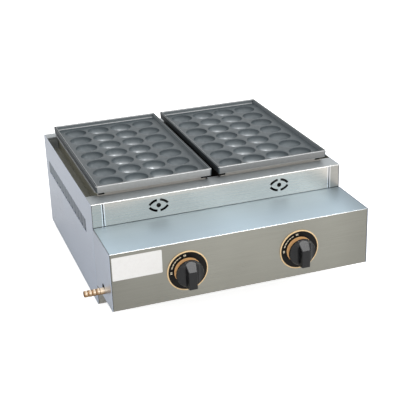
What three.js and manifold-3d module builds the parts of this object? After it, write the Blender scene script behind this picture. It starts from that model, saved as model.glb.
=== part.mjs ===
// Two-burner gas takoyaki maker: a folded sheet-metal casing with a control box in front, two
// lift-off cast plates of hemispherical cups on open fireboxes, and the gas train that feeds them.
// Millimetres, +Z up. Pieces are laid out from the casing's front lower edge: X to the right,
// Y towards the back, Z up from the casing's underside. The last lines set the finished group
// on its feet, with its origin under the middle of the whole object.
import * as THREE from 'three';
import { mergeVertices } from 'three/addons/utils/BufferGeometryUtils.js';
import Module from 'manifold-3d';

const wasm = await Module();
wasm.setup();

// Casing
const bodyWidth = 455;
const bodyDepth = 388;
const deckHeight = 184;
const ledgeDrop = 42;
const boxDepth = 108;
const boxBottom = 40;
const sheet = 1.2;
const bendRadius = 2.4;
const cornerPost = 20;
const rearPost = 15;
const frontFlange = 39.5;
const rearFlange = 24;
const flangeLip = 8;
const railDrop = 16;
const ledgeHook = 12;
const panelLip = 12;
const panLip = 15;

// Clearances
const seat = 0.3;
const slideGap = 0.35;
const overrun = 3;

// Cooking plates and the fireboxes that carry them
const plateGap = 12;
const plateSideMargin = 16.5;
const plateSetback = 20.5;
const plateRearMargin = 26.5;
const plateBorder = 12.5;
const plateEdge = 12.5;
const plateFloor = 4.7;
const plateCorner = 2.5;
const rimWidth = 4;
const cupPitch = 45;
const cupDiameter = 40;
const cupWall = 4;
const domeTopShare = 0.5;
const collarRise = 9.3;
const sideOverhang = 4.5;
const endOverhang = 12;
const collarNotchWidth = 11;
const collarNotchDepth = 7;

// Vents
const louvrePitch = 26;
const louvreSlot = 16;
const louvreHeight = 24;
const louvreDrop = 56.5;
const louvreFrontMargin = 45;
const louvreRearMargin = 31;
const louvreBladeReach = 6;
const bladeTip = 3;
const eyeSpacing = 220.6;
const eyeDrop = 19.7;
const eyeWidth = 40;
const eyeRise = 12;
const eyeSlot = 3.4;
const eyeHole = 8;
const eyeGap = 7;
const eyeLidEnd = 2.2;
const flueMargin = 18.5;
const flueSlotLength = 40;
const flueSlotHeight = 12;
const flueSlotDrop = 33;
const flueSlotPitch = 56;
const airSlots = 3;
const airSlotWidth = 26;
const airSlotPitch = 46;
const airSlotLength = 210;
const boxVents = 5;
const boxVentWidth = 12;
const boxVentLength = 46;
const boxVentPitch = 20;

// Controls
const knobSpacing = 197.8;
const knobSink = 0.9;
const dialRadius = 35;
const dialThickness = 1.2;
const dialRim = 2;
const dialRimRise = 0.5;
const knobRadius = 23.5;
const knobStandoff = 11;
const knobSkirt = 3.5;
const knobCrown = 9;
const knobHeightOut = 19;
const knobFaceRadius = 20.5;
const gripWidth = 21;
const gripFaceWidth = 17;
const gripSlopeDrop = 15;
const gripSlopeStart = 9;
const gripCorner = 2;
const gripLow = 21.6;
const scoopRadius = 14;
const scoopDepth = 4;
const socketDepth = 12;
const stemRadius = 3;
const stemFlat = 2;
const stemTravel = 3;
const pinRadius = 1.1;
const plugRadius = 6.2;
const plugLength = 9;

// Gas train
const railRise = 14.9;
const railSetback = 57.6;
const railRadius = 6.85;
const railEnd = 16;
const barbReach = 34.5;
const barbRadius = 5.9;
const barbNeck = 4.9;
const barbRibs = 4;
const ribPeakShare = 0.72;
const ribEndShare = 0.85;
const barbPlain = 7;
const barbBore = 3.2;
const barbBoreDepth = 24;
const inletHole = 10;
const inletHoleRise = 2.2;
const inletHoleBack = 4.5;
const nutRadius = 10.5;
const nutLength = 12;
const valveWidth = 24;
const valveHeight = 26;
const valveChamfer = 4;
const valveInset = 18;
const valveBack = 46;
const bonnetRadius = 10;
const bonnetInset = 3.5;
const inletBoss = 9;
const clampEar = 17;
const clampWidth = 14;
const clampThickness = 3;
const jetHex = 6.5;
const jetHexLength = 8;
const jetNose = 3.4;
const jetNoseLength = 7;
const jetOrifice = 0.9;
const jetOrificeDepth = 4;
const shutterThickness = 1.2;
const shutterRadius = 17.5;
const windowInner = 7;
const windowOuter = 14.5;
const windowArc = 62;
const windowCount = 3;
const shutterTab = 7;
const shutterTabWidth = 8;
const bellWall = 2;
const bellLength = 24;
const bellDepth = 13;
const tubeRadius = 11;
const legSpacing = 90;
const burnerDrop = 56;
const crossSetback = 84;
const legShort = 19.5;
const portWidth = 3;
const portLength = 9;
const portDepth = 3;
const portPitch = 30;
const portMargin = 12.5;
const restBehind = 28;
const restMargin = 18;
const restFoot = 16;

// Feet
const footHeight = 8;
const footRadius = 13;
const footTopRadius = 11;
const footInset = 32;

// Facets on round work
const bendSteps = 2;
const sectorSteps = 3;
const cupFacets = 10;
const cupRings = 3;
const domeFacets = 8;
const domeRings = 2;
const footFacets = 10;
const tubeFacets = 12;
const fixingFacets = 8;
const fineFacets = 16;
const knobFacets = 20;
const climbSteps = 4;
const mergeTolerance = 1e-4;
const countSlack = 0.01;

// How many copies at a pitch fit in a length
const fitted = (length, pitch) => Math.floor(length / pitch + countSlack);

// Places that follow from the sizes above
const ledgeHeight = deckHeight - ledgeDrop;
const knobHeight = (boxBottom + ledgeHeight) / 2 - knobSink;
const railHeight = boxBottom + railRise;
const plateWidth = (bodyWidth - plateGap) / 2 - plateSideMargin;
const plateDepth = bodyDepth - plateSetback - plateRearMargin;
const cupColumns = fitted(plateWidth - 2 * plateBorder, cupPitch);
const cupRows = fitted(plateDepth - 2 * plateBorder, cupPitch);
const halfWidth = bodyWidth / 2;
const insideWidth = halfWidth - sheet - seat;
const innerBend = bendRadius - sheet;
const postEdge = halfWidth - cornerPost;
const plateX = (plateWidth + plateGap) / 2;
const plateY = plateSetback + plateDepth / 2;
const fireboxWidth = plateWidth - 2 * sideOverhang;
const fireboxFront = plateSetback + endOverhang;
const fireboxBack = plateSetback + plateDepth - endOverhang;
const fireboxTop = deckHeight + collarRise;
const plateUnderside = fireboxTop + seat;
const knobX = knobSpacing / 2;
const railDropped = railHeight - knobHeight;
const eyeX = eyeSpacing / 2;
const eyeHeight = deckHeight - eyeDrop;
const legHeight = deckHeight - burnerDrop;
const legEnd = fireboxBack - legShort;
const burnerPorts = fitted(legEnd - crossSetback - tubeRadius - 2 * portMargin, portPitch);
const restSetback = legEnd - restBehind;
const valveFront = boxDepth - valveInset;
const bonnetFront = boxDepth - bonnetInset;
const flueSlots = fitted(fireboxBack - fireboxFront - 2 * flueMargin, flueSlotPitch);
const louvreRun = bodyDepth - louvreFrontMargin - louvreRearMargin;
const louvreCount = fitted(louvreRun, louvrePitch);
const louvreBankMiddle = louvreFrontMargin + louvreRun / 2;
const louvreBottom = deckHeight - louvreDrop - louvreHeight / 2;
const panelInside = sheet - boxDepth;
const shutterBore = jetNose + slideGap;
const shutterFront = -valveBack + jetHexLength + slideGap;
const bellFront = shutterFront + shutterThickness + slideGap;
const cupRadius = cupDiameter / 2;

// Finishes
const steelColour = 0xb4b8ba;
const innerSteelColour = 0x8d8a84;
const plateColour = 0x555b5f;
const brassColour = 0xc49a5a;
const blackColour = 0x1d1e20;
const rubberColour = 0x2a2a2a;
const dialColour = 0x1a1816;

function finish(color, roughness, metalness) {
  return new THREE.MeshStandardMaterial({ color, roughness, metalness });
}

const finishes = {
  steel: () => finish(steelColour, 0.3, 1),
  innerSteel: () => finish(innerSteelColour, 0.45, 1),
  castPlate: () => finish(plateColour, 0.55, 0.4),
  brass: () => finish(brassColour, 0.35, 1),
  knob: () => finish(blackColour, 0.4, 0),
  rubber: () => finish(rubberColour, 0.8, 0),
  dial: () => finish(dialColour, 0.5, 0),
};

// Geometry to solid, with shared corners merged and every face turned outwards
function solid(geometry) {
  geometry.deleteAttribute('normal');
  geometry.deleteAttribute('uv');
  const merged = mergeVertices(geometry, mergeTolerance);
  const point = (index) => new THREE.Vector3().fromBufferAttribute(merged.attributes.position, index);
  const triangles = [];
  let volume = 0;
  for (let first = 0; first < merged.index.count; first += 3) {
    const triangle = [0, 1, 2].map((step) => merged.index.getX(first + step));
    if (new Set(triangle).size < 3) continue;
    const [a, b, c] = triangle.map(point);
    volume += a.dot(b.cross(c));
    triangles.push(triangle);
  }
  const outward = volume > 0 ? triangles : triangles.map(([a, b, c]) => [a, c, b]);
  return new wasm.Manifold(new wasm.Mesh({
    numProp: 3,
    vertProperties: Float32Array.from(merged.attributes.position.array),
    triVerts: Uint32Array.from(outward.flat()),
  }));
}

// A solid carried to a new place, kept facing out where the move mirrors it
function moved(manifold, matrix) {
  const { vertProperties, triVerts } = manifold.getMesh();
  const geometry = new THREE.BufferGeometry();
  geometry.setAttribute('position', new THREE.BufferAttribute(Float32Array.from(vertProperties), 3));
  geometry.setIndex(new THREE.BufferAttribute(triVerts, 1));
  return solid(geometry.applyMatrix4(matrix));
}

function meshOf(name, manifold, material) {
  const { vertProperties, triVerts } = manifold.getMesh();
  const geometry = new THREE.BufferGeometry();
  geometry.setAttribute('position', new THREE.BufferAttribute(vertProperties, 3));
  geometry.setIndex(new THREE.BufferAttribute(triVerts, 1));
  geometry.computeVertexNormals();
  const mesh = new THREE.Mesh(geometry, material);
  mesh.name = name;
  return mesh;
}

const joined = (solids) => solids.reduce((whole, next) => whole.add(next));
const cutBy = (body, cutters) => cutters.reduce((left, cutter) => left.subtract(cutter), body);
const bothSides = [-1, 1];
const spread = (count, pitch) => Array.from(
  { length: count }, (_, index) => (index - (count - 1) / 2) * pitch);

// Outlines and the prisms, blocks and turned forms made from them
function shapeOf(outline) {
  if (!Array.isArray(outline)) return outline;
  return new THREE.Shape(outline.map(([a, b]) => new THREE.Vector2(a, b)));
}

function prism(outline, length) {
  return new THREE.ExtrudeGeometry(shapeOf(outline), { depth: length, bevelEnabled: false });
}

function alongX(outline, from, to) {
  const basis = new THREE.Matrix4().makeBasis(
    new THREE.Vector3(0, 1, 0), new THREE.Vector3(0, 0, 1), new THREE.Vector3(1, 0, 0));
  return solid(prism(outline, to - from).applyMatrix4(basis).translate(from, 0, 0));
}

function alongY(outline, from, to) {
  const basis = new THREE.Matrix4().makeBasis(
    new THREE.Vector3(1, 0, 0), new THREE.Vector3(0, 0, 1), new THREE.Vector3(0, -1, 0));
  return solid(prism(outline, to - from).applyMatrix4(basis).translate(0, to, 0));
}

function alongZ(outline, from, to) {
  return solid(prism(outline, to - from).translate(0, 0, from));
}

function block(x0, x1, y0, y1, z0, z1) {
  const size = new THREE.BoxGeometry(x1 - x0, y1 - y0, z1 - z0);
  return solid(size.translate((x0 + x1) / 2, (y0 + y1) / 2, (z0 + z1) / 2));
}

// A block whose X limits are distances from the middle, on the left (-1) or right (1)
function sideBlock(side, near, far, ...limits) {
  return block(Math.min(side * near, side * far), Math.max(side * near, side * far), ...limits);
}

function turned(profile, facets) {
  return new THREE.LatheGeometry(profile.map(([r, along]) => new THREE.Vector2(r, along)), facets);
}

const turnedAboutY = (profile, facets) => solid(turned(profile, facets));
const turnedAboutX = (profile, facets) => solid(turned(profile, facets).rotateZ(-Math.PI / 2));
const turnedAboutZ = (profile, facets, turn = 0) => solid(
  turned(profile, facets).rotateX(Math.PI / 2).rotateZ(turn));

function rod(radius, from, to) {
  return [[0, from], [radius, from], [radius, to], [0, to]];
}

function rectangle(width, height, x = 0, y = 0) {
  return [[x - width / 2, y - height / 2], [x + width / 2, y - height / 2],
    [x + width / 2, y + height / 2], [x - width / 2, y + height / 2]];
}

function arc(radius, from, to, steps, x = 0, y = 0) {
  return Array.from({ length: steps + 1 }, (_, step) => {
    const angle = from + (to - from) * step / steps;
    return [x + radius * Math.cos(angle), y + radius * Math.sin(angle)];
  });
}

function circle(radius, x = 0, y = 0, facets = tubeFacets) {
  return arc(radius, 0, 2 * Math.PI * (1 - 1 / facets), facets - 1, x, y);
}

function ringSector(inner, outer, from, to, x = 0, y = 0) {
  return [...arc(outer, from, to, sectorSteps, x, y), ...arc(inner, to, from, sectorSteps, x, y)];
}

function roundedRectangle(width, height, radius) {
  const [a, b] = [width / 2 - radius, height / 2 - radius];
  const corner = (quarter, x, y) => arc(
    radius, quarter * Math.PI / 2, (quarter + 1) * Math.PI / 2, bendSteps, x, y);
  return [...corner(0, a, b), ...corner(1, -a, b), ...corner(2, -a, -b), ...corner(3, a, -b)];
}

function hexagon(acrossFlats) {
  const reach = acrossFlats / Math.sqrt(3);
  return Array.from({ length: 6 }, (_, side) => {
    const angle = side * Math.PI / 3;
    return [reach * Math.cos(angle), reach * Math.sin(angle)];
  });
}

// Section of a folded sheet: `corners` is its outer face, and `inward` is 1 where the wall lies
// to the left of that path and -1 where it lies to the right. Every fold has the bend radius.
function foldedSection(corners, inward = 1) {
  const path = corners.map(([a, b]) => new THREE.Vector2(a, b));
  const heading = (index) => path[index + 1].clone().sub(path[index]).normalize();
  const wallSide = (direction) => new THREE.Vector2(-direction.y, direction.x).multiplyScalar(inward);
  const outer = [];
  const inner = [];
  path.forEach((corner, index) => {
    const end = index === 0 || index === path.length - 1;
    if (end) {
      const direction = heading(Math.min(index, path.length - 2));
      outer.push(corner);
      inner.push(corner.clone().addScaledVector(wallSide(direction), sheet));
      return;
    }
    const before = heading(index - 1);
    const after = heading(index);
    const turn = Math.sign(before.cross(after)) * inward;
    const faceRadius = turn > 0 ? bendRadius : bendRadius - sheet;
    const backRadius = turn > 0 ? bendRadius - sheet : bendRadius;
    const centre = corner.clone().addScaledVector(before, -faceRadius).addScaledVector(after, faceRadius);
    const start = wallSide(before).multiplyScalar(-turn);
    for (let step = 0; step <= bendSteps; step += 1) {
      const angle = turn * inward * (step / bendSteps) * Math.PI / 2;
      const spoke = start.clone().rotateAround(new THREE.Vector2(), angle);
      outer.push(centre.clone().addScaledVector(spoke, faceRadius));
      inner.push(centre.clone().addScaledVector(spoke, backRadius));
    }
  });
  return new THREE.Shape([...outer, ...inner.reverse()]);
}

// A bank of pressed louvres along a side wall, from its outer face at zero inwards along +Y
function louvreCuts() {
  return spread(louvreCount, louvrePitch).map((middle) => block(
    middle - louvreSlot / 2, middle + louvreSlot / 2, -overrun, sheet + overrun,
    louvreBottom, louvreBottom + louvreHeight));
}

function louvreBlades() {
  return spread(louvreCount, louvrePitch).map((middle) => {
    const rear = middle + louvreSlot / 2;
    const tip = middle - louvreSlot / 2 + bladeTip;
    const reach = sheet + louvreBladeReach;
    const blade = [[rear, 0], [rear + sheet, 0], [rear + sheet, sheet], [tip, reach],
      [tip - sheet, reach - sheet / 2]];
    return alongZ(blade, louvreBottom, louvreBottom + louvreHeight);
  });
}

// Casing panels
function sidePanel(side) {
  const corners = [[side * postEdge, 0], [side * halfWidth, 0], [side * halfWidth, bodyDepth],
    [side * (halfWidth - rearPost), bodyDepth]];
  const wall = alongZ(foldedSection(corners, side), 0, deckHeight);
  const flangeSpan = [insideWidth - cornerPost - overrun, insideWidth + seat];
  const flangeRise = [deckHeight - sheet - seat, deckHeight + overrun];
  const panel = cutBy(wall, [
    sideBlock(side, ...flangeSpan, -overrun, frontFlange, ...flangeRise),
    sideBlock(side, ...flangeSpan, bodyDepth - rearFlange, bodyDepth + overrun, ...flangeRise),
  ]);
  const along = new THREE.Vector3(0, 1, 0);
  const inwards = new THREE.Vector3(-side, 0, 0);
  const onWall = new THREE.Matrix4().makeBasis(along, inwards, new THREE.Vector3(0, 0, 1))
    .setPosition(side * halfWidth, louvreBankMiddle, 0);
  const cut = cutBy(panel, louvreCuts().map((cutter) => moved(cutter, onWall)));
  return joined([cut, ...louvreBlades().map((blade) => moved(blade, onWall))]);
}

function backPanel() {
  const outside = bodyDepth - sheet - seat;
  const edge = insideWidth - innerBend;
  const corners = [[-edge, outside - panelLip], [-edge, outside], [edge, outside],
    [edge, outside - panelLip]];
  const panel = alongZ(foldedSection(corners, -1), sheet + seat, deckHeight - sheet - seat - innerBend);
  return cutBy(panel, bothSides.map((side) => sideBlock(side, edge - bendRadius, edge + overrun,
    outside - panelLip - overrun, outside - bendRadius, 0, panLip + seat)));
}

function rearDeckRail() {
  const corners = [[bodyDepth, deckHeight - railDrop], [bodyDepth, deckHeight],
    [bodyDepth - rearFlange, deckHeight], [bodyDepth - rearFlange, deckHeight - flangeLip]];
  const rail = alongX(foldedSection(corners), -insideWidth, insideWidth);
  return cutBy(rail, bothSides.map((side) => sideBlock(
    side, halfWidth - rearPost - seat, halfWidth, bodyDepth - sheet - seat - innerBend, bodyDepth + overrun,
    deckHeight - railDrop - overrun, deckHeight - sheet)));
}

// The almond-shaped ring of lighting slots, in the X-Z plane of the upper front
function eyeCutters(x) {
  const half = eyeWidth / 2;
  const lidRadius = (half * half + eyeRise * eyeRise) / (2 * eyeRise);
  const reach = Math.asin((half - eyeLidEnd) / lidRadius);
  const gap = Math.asin(eyeGap / 2 / lidRadius);
  const [inner, outer] = [lidRadius - eyeSlot, lidRadius];
  const cutters = [alongY(circle(eyeHole / 2, x, eyeHeight), -overrun, sheet + overrun)];
  for (const lid of bothSides) {
    const centre = eyeHeight - lid * (lidRadius - eyeRise);
    const middle = lid * Math.PI / 2;
    for (const way of bothSides) {
      const from = Math.min(middle + way * gap, middle + way * reach);
      const to = Math.max(middle + way * gap, middle + way * reach);
      cutters.push(alongY(ringSector(inner, outer, from, to, x, centre), -overrun, sheet + overrun));
    }
  }
  return cutters;
}

function frontApron() {
  const corners = [[frontFlange, deckHeight - flangeLip], [frontFlange, deckHeight],
    [0, deckHeight], [0, ledgeHeight + seat]];
  const apron = alongX(foldedSection(corners), -insideWidth, insideWidth);
  const cuts = bothSides.flatMap((side) => [
    sideBlock(side, postEdge - seat, halfWidth, -overrun, sheet + seat + innerBend,
      ledgeHeight - overrun, deckHeight - sheet),
    sideBlock(side, plateX - fireboxWidth / 2 - seat, plateX + fireboxWidth / 2 + seat,
      fireboxFront - seat, fireboxBack, 0, deckHeight + overrun),
    ...eyeCutters(side * eyeX),
  ]);
  return cutBy(apron, cuts);
}

function frontBulkhead() {
  const edge = postEdge - seat;
  const wall = block(-edge, edge, 0, sheet, 0, ledgeHeight - sheet - seat);
  return cutBy(wall, bothSides.map((side) => alongY(
    circle(tubeRadius + seat, side * knobX, knobHeight), -overrun, sheet + overrun)));
}

function basePan() {
  const front = sheet + seat;
  const back = bodyDepth - sheet - bendRadius - 2 * seat;
  const edge = insideWidth - innerBend;
  const outside = block(-edge, edge, front, back, 0, panLip);
  const hollow = block(sheet - edge, edge - sheet, front + sheet, back - sheet, sheet, panLip + overrun);
  const slot = alongZ(rectangle(airSlotWidth, airSlotLength), -overrun, sheet + overrun);
  const slots = bothSides.flatMap((side) => spread(airSlots, airSlotPitch).map(
    (shift) => slot.translate([side * plateX + shift, plateY, 0])));
  return cutBy(outside, [hollow, ...slots]);
}

// Control box in front of the body
function controlPanel() {
  const corners = [[ledgeHook, ledgeHeight - ledgeHook], [ledgeHook, ledgeHeight],
    [-boxDepth, ledgeHeight], [-boxDepth, boxBottom], [panelLip - boxDepth, boxBottom]];
  const wall = alongX(foldedSection(corners), -insideWidth, insideWidth);
  const ends = bothSides.map((side) => sideBlock(
    side, postEdge - seat, halfWidth, -seat, ledgeHook + overrun, boxBottom, ledgeHeight + overrun));
  const stemHoles = bothSides.map((side) => alongY(
    circle(plugRadius, side * knobX, knobHeight), -boxDepth - overrun, panelInside + overrun));
  return cutBy(wall, [...ends, ...stemHoles]);
}

function controlBoxSide(side) {
  const corners = [[side * halfWidth, -boxDepth], [side * halfWidth, -seat],
    [side * (halfWidth - panelLip), -seat]];
  const underLedge = block(-insideWidth, insideWidth, -boxDepth, 0,
    ledgeHeight - sheet - seat, ledgeHeight + overrun);
  return alongZ(foldedSection(corners, side), boxBottom, ledgeHeight).subtract(underLedge);
}

function inletSide() {
  const hole = alongX(circle(inletHole, inletHoleBack - railSetback, railHeight + inletHoleRise),
    -halfWidth - overrun, -halfWidth + sheet + overrun);
  return controlBoxSide(-1).subtract(hole);
}

function controlBoxBottom() {
  const edge = insideWidth - innerBend;
  const front = panelInside + seat + innerBend;
  const floor = boxBottom + sheet + seat;
  const plate = block(-edge, edge, front, -2 * seat - sheet, floor, floor + sheet);
  const vent = alongZ(rectangle(boxVentWidth, boxVentLength), floor - overrun, floor + sheet + overrun);
  const vents = bothSides.flatMap((side) => spread(boxVents, boxVentPitch).map(
    (shift) => vent.translate([side * knobX + shift, -boxDepth / 2, 0])));
  return cutBy(plate, vents);
}

// Firebox: a folded four-wall collar from the base pan up through the deck
function firebox(side) {
  const depth = fireboxBack - fireboxFront;
  const middleY = (fireboxFront + fireboxBack) / 2;
  const outside = roundedRectangle(fireboxWidth, depth, bendRadius);
  const inside = roundedRectangle(fireboxWidth - 2 * sheet, depth - 2 * sheet, innerBend);
  const tube = alongZ(outside, sheet + seat, fireboxTop).subtract(alongZ(inside, 0, fireboxTop + overrun))
    .translate([side * plateX, middleY, 0]);
  const frontWall = [fireboxFront - overrun, fireboxFront + sheet + overrun];
  const burnerHole = alongY(circle(tubeRadius + seat, side * knobX, knobHeight), ...frontWall);
  const lightingHole = alongY(circle(eyeRise, side * eyeX, eyeHeight), ...frontWall);
  const inner = fireboxWidth / 2 - sheet;
  const notches = bothSides.map((end) => sideBlock(
    end, inner - collarNotchWidth, inner, fireboxFront - overrun, fireboxFront + sheet + seat,
    fireboxTop - collarNotchDepth, fireboxTop + overrun).translate([side * plateX, 0, 0]));
  const flueTop = deckHeight - flueSlotDrop;
  const flue = block(-plateWidth, plateWidth, -flueSlotLength / 2, flueSlotLength / 2,
    flueTop - flueSlotHeight, flueTop);
  const flues = spread(flueSlots, flueSlotPitch).map((shift) => flue.translate(
    [side * plateX, middleY + shift, 0]));
  return cutBy(tube, [burnerHole, lightingHole, ...notches, ...flues]);
}

// Cooking plate, from the middle of its underside: a shallow rimmed tray with a dome under each cup
function cupPlaces() {
  return spread(cupColumns, cupPitch).flatMap((x) => spread(cupRows, cupPitch).map((y) => [x, y]));
}

function bowl(radius, rings) {
  return Array.from({ length: rings + 1 }, (_, ring) => {
    const angle = (ring / rings) * Math.PI / 2;
    return [radius * Math.sin(angle), plateFloor - radius * Math.cos(angle)];
  });
}

function cookingPlate() {
  const slab = alongZ(roundedRectangle(plateWidth, plateDepth, plateCorner), 0, plateEdge);
  const tray = alongZ(roundedRectangle(plateWidth - 2 * rimWidth, plateDepth - 2 * rimWidth, plateCorner),
    plateFloor, plateEdge + overrun);
  const domeRadius = cupRadius + cupWall;
  const dome = [...bowl(domeRadius, domeRings).slice(0, -1), [domeRadius, plateFloor * domeTopShare],
    [0, plateFloor * domeTopShare]];
  const cup = [...bowl(cupRadius, cupRings), [cupRadius, plateFloor + overrun], [0, plateFloor + overrun]];
  const domeSolid = turnedAboutZ(dome, domeFacets, Math.PI / domeFacets);
  const cupSolid = turnedAboutZ(cup, cupFacets);
  const domes = cupPlaces().map((place) => domeSolid.translate([...place, 0]));
  const cups = cupPlaces().map((place) => cupSolid.translate([...place, 0]));
  return cutBy(joined([slab, ...domes]), [tray, ...cups]);
}

// Burner: bell mouth in the control box, a rising feed pipe, and two ported legs behind it
function burner(side) {
  const feedX = side * knobX;
  const bellRadius = shutterRadius;
  const bell = turnedAboutY([[0, bellFront], [bellRadius, bellFront], [bellRadius, bellFront + bellDepth],
    [tubeRadius, bellFront + bellLength], [0, bellFront + bellLength]], fineFacets);
  const throat = bellRadius - bellWall;
  const cavity = turnedAboutY([[0, bellFront + bellWall], [throat, bellFront + bellWall],
    [throat, bellFront + bellDepth - bellWall], [0, bellFront + bellLength - bellWall]], fineFacets);
  const windows = shutterWindows(bellFront - overrun, bellFront + bellWall + overrun);
  const mouth = turnedAboutY(
    rod(shutterBore, bellFront - overrun, bellFront + bellWall + overrun), tubeFacets);
  const head = cutBy(bell, [cavity, mouth, ...windows]);
  const bend = fireboxFront + sheet + tubeRadius;
  const straight = turnedAboutY(rod(tubeRadius, bellFront + bellLength - overrun, bend), tubeFacets);
  const rise = legHeight - knobHeight;
  const middle = (bend + crossSetback) / 2;
  const route = [[bend - seat, 0], [middle, 0], [middle, rise], [crossSetback, rise]];
  const climb = new THREE.CubicBezierCurve3(...route.map(([y, z]) => new THREE.Vector3(0, y, z)));
  const pipe = solid(new THREE.ExtrudeGeometry(shapeOf(circle(tubeRadius)), {
    steps: climbSteps, extrudePath: climb, bevelEnabled: false }));
  const feed = joined([head, straight, pipe]).translate([feedX, 0, knobHeight]);
  const plateMiddle = side * plateX;
  const reach = legSpacing / 2 + tubeRadius;
  const cross = turnedAboutX(rod(tubeRadius, -reach, reach), tubeFacets)
    .translate([plateMiddle, crossSetback, legHeight]);
  const leg = turnedAboutY(rod(tubeRadius, crossSetback, legEnd), tubeFacets);
  const legXs = bothSides.map((way) => plateMiddle + way * legSpacing / 2);
  const legs = legXs.map((x) => leg.translate([x, 0, legHeight]));
  const portsMiddle = (crossSetback + tubeRadius + legEnd) / 2;
  const port = block(-portLength / 2, portLength / 2, -portWidth / 2, portWidth / 2,
    tubeRadius - portDepth, tubeRadius + overrun);
  const ports = legXs.flatMap((x) => spread(burnerPorts, portPitch).map((shift) => port.translate(
    [x, portsMiddle + shift, legHeight])));
  return cutBy(joined([feed, cross, ...legs]), ports);
}

function shutterWindows(from, to) {
  const half = THREE.MathUtils.degToRad(windowArc / 2);
  return Array.from({ length: windowCount }, (_, index) => {
    const middle = Math.PI / 2 + index * 2 * Math.PI / windowCount;
    return alongY(ringSector(windowInner, windowOuter, middle - half, middle + half), from, to);
  });
}

// Air shutter, centred on the burner's axis with its front face at zero
function airShutter() {
  const disc = turnedAboutY(rod(shutterRadius, 0, shutterThickness), fineFacets);
  const tab = block(-shutterTabWidth / 2, shutterTabWidth / 2, 0, shutterThickness,
    -shutterRadius - shutterTab, -windowOuter);
  const bore = turnedAboutY(rod(shutterBore, -overrun, shutterThickness + overrun), tubeFacets);
  return cutBy(joined([disc, tab]), [bore, ...shutterWindows(-overrun, shutterThickness + overrun)]);
}

function burnerRest(side) {
  const width = legSpacing + 2 * (tubeRadius + restMargin);
  const middle = side * plateX;
  const bottom = sheet + seat;
  const corners = [[restSetback, legHeight], [restSetback, bottom], [restSetback + restFoot, bottom]];
  const bracket = alongX(foldedSection(corners), middle - width / 2, middle + width / 2);
  const cradles = bothSides.map((way) => alongY(
    circle(tubeRadius + seat, middle + way * legSpacing / 2, legHeight),
    restSetback - overrun, restSetback + sheet + overrun));
  const relief = alongY(rectangle(legSpacing - 2 * tubeRadius - restMargin, legHeight - panLip - restMargin,
    middle, legHeight), restSetback - overrun, restSetback + sheet + overrun);
  return cutBy(bracket, [...cradles, relief]);
}

// Gas train: valve bodies on a rail, a jet behind each, and the hose barb at the left
function gasValve() {
  const [w, h] = [valveWidth / 2, valveHeight / 2];
  const c = valveChamfer;
  const outline = [[-w + c, -h], [w - c, -h], [w, -h + c], [w, h - c], [w - c, h], [-w + c, h],
    [-w, h - c], [-w, -h + c]];
  const body = alongY(outline, -valveFront, -valveBack);
  const bonnet = turnedAboutY(rod(bonnetRadius, -bonnetFront, -valveFront + overrun), fineFacets);
  const boss = turnedAboutZ(rod(inletBoss, railDropped, 0), tubeFacets).translate([0, -railSetback, 0]);
  const plugBore = turnedAboutY(
    rod(plugRadius + seat, -bonnetFront - overrun, -bonnetFront + plugLength + seat), fineFacets);
  const stemBore = turnedAboutY(
    rod(stemRadius + seat, -bonnetFront, -valveFront + plugLength + stemTravel + seat), tubeFacets);
  return cutBy(joined([body, bonnet, boss, clampHalf(1)]), [plugBore, stemBore, railChannel()]);
}

// Each valve sits on the rail in the upper half of a clamp with an ear on each side
function clampHalf(way) {
  const outside = railRadius + seat + clampThickness;
  const near = way * seat / 2;
  const far = way * (seat / 2 + clampThickness);
  const rise = Math.asin(far / outside);
  const arch = arc(outside, Math.PI - rise, rise, 2 * sectorSteps).map(([y, z]) => [y, way * Math.abs(z)]);
  const outline = [[-clampEar, near], [-clampEar, far], ...arch, [clampEar, far], [clampEar, near]];
  return alongX(way > 0 ? outline.reverse() : outline, -clampWidth / 2, clampWidth / 2)
    .translate([0, -railSetback, railDropped]);
}

function railChannel() {
  return turnedAboutX(rod(railRadius + seat, -valveWidth, valveWidth), tubeFacets)
    .translate([0, -railSetback, railDropped]);
}

// Rotating plug: turns with the stem, which slides in its flatted bore and cross slot
function dOutline(radius, flat) {
  const start = Math.asin(flat / radius);
  return arc(radius, Math.PI - start, 2 * Math.PI + start, tubeFacets);
}

function valvePlug() {
  const front = -bonnetFront;
  const body = turnedAboutY(rod(plugRadius, front, front + plugLength), fineFacets);
  const bore = alongY(
    dOutline(stemRadius + seat, stemFlat + seat), front - overrun, front + plugLength + overrun);
  const slotDepth = stemTravel + 2 * pinRadius + 2 * seat;
  const slot = block(-plugRadius - overrun, plugRadius + overrun, front - overrun, front + slotDepth,
    -pinRadius - seat, pinRadius + seat);
  return cutBy(body, [bore, slot]);
}

function valveStem() {
  const front = -boxDepth - knobStandoff - socketDepth + seat;
  const back = -valveFront + plugLength;
  const shaft = alongY(dOutline(stemRadius, stemFlat), front, back);
  const pin = turnedAboutX(rod(pinRadius, seat - plugRadius, plugRadius - seat), fixingFacets);
  return shaft.add(pin.translate([0, -bonnetFront + pinRadius + seat, 0]));
}

function gasRail() {
  const left = -halfWidth + sheet + seat + nutLength;
  const right = knobX + valveWidth / 2 + railEnd;
  const rail = turnedAboutX([[0, left], [railRadius, left], [railRadius, right - sheet],
    [railRadius - sheet, right], [0, right]], tubeFacets);
  return rail.translate([0, -railSetback, railHeight]);
}

function inletNut() {
  const start = -halfWidth + sheet + seat;
  const outline = hexagon(2 * nutRadius);
  const nut = alongX(outline, start, start + nutLength - seat);
  const bore = turnedAboutX(rod(barbNeck + seat, start - overrun, start + nutLength / 2), tubeFacets);
  return nut.subtract(bore).translate([0, -railSetback, railHeight]);
}

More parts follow.
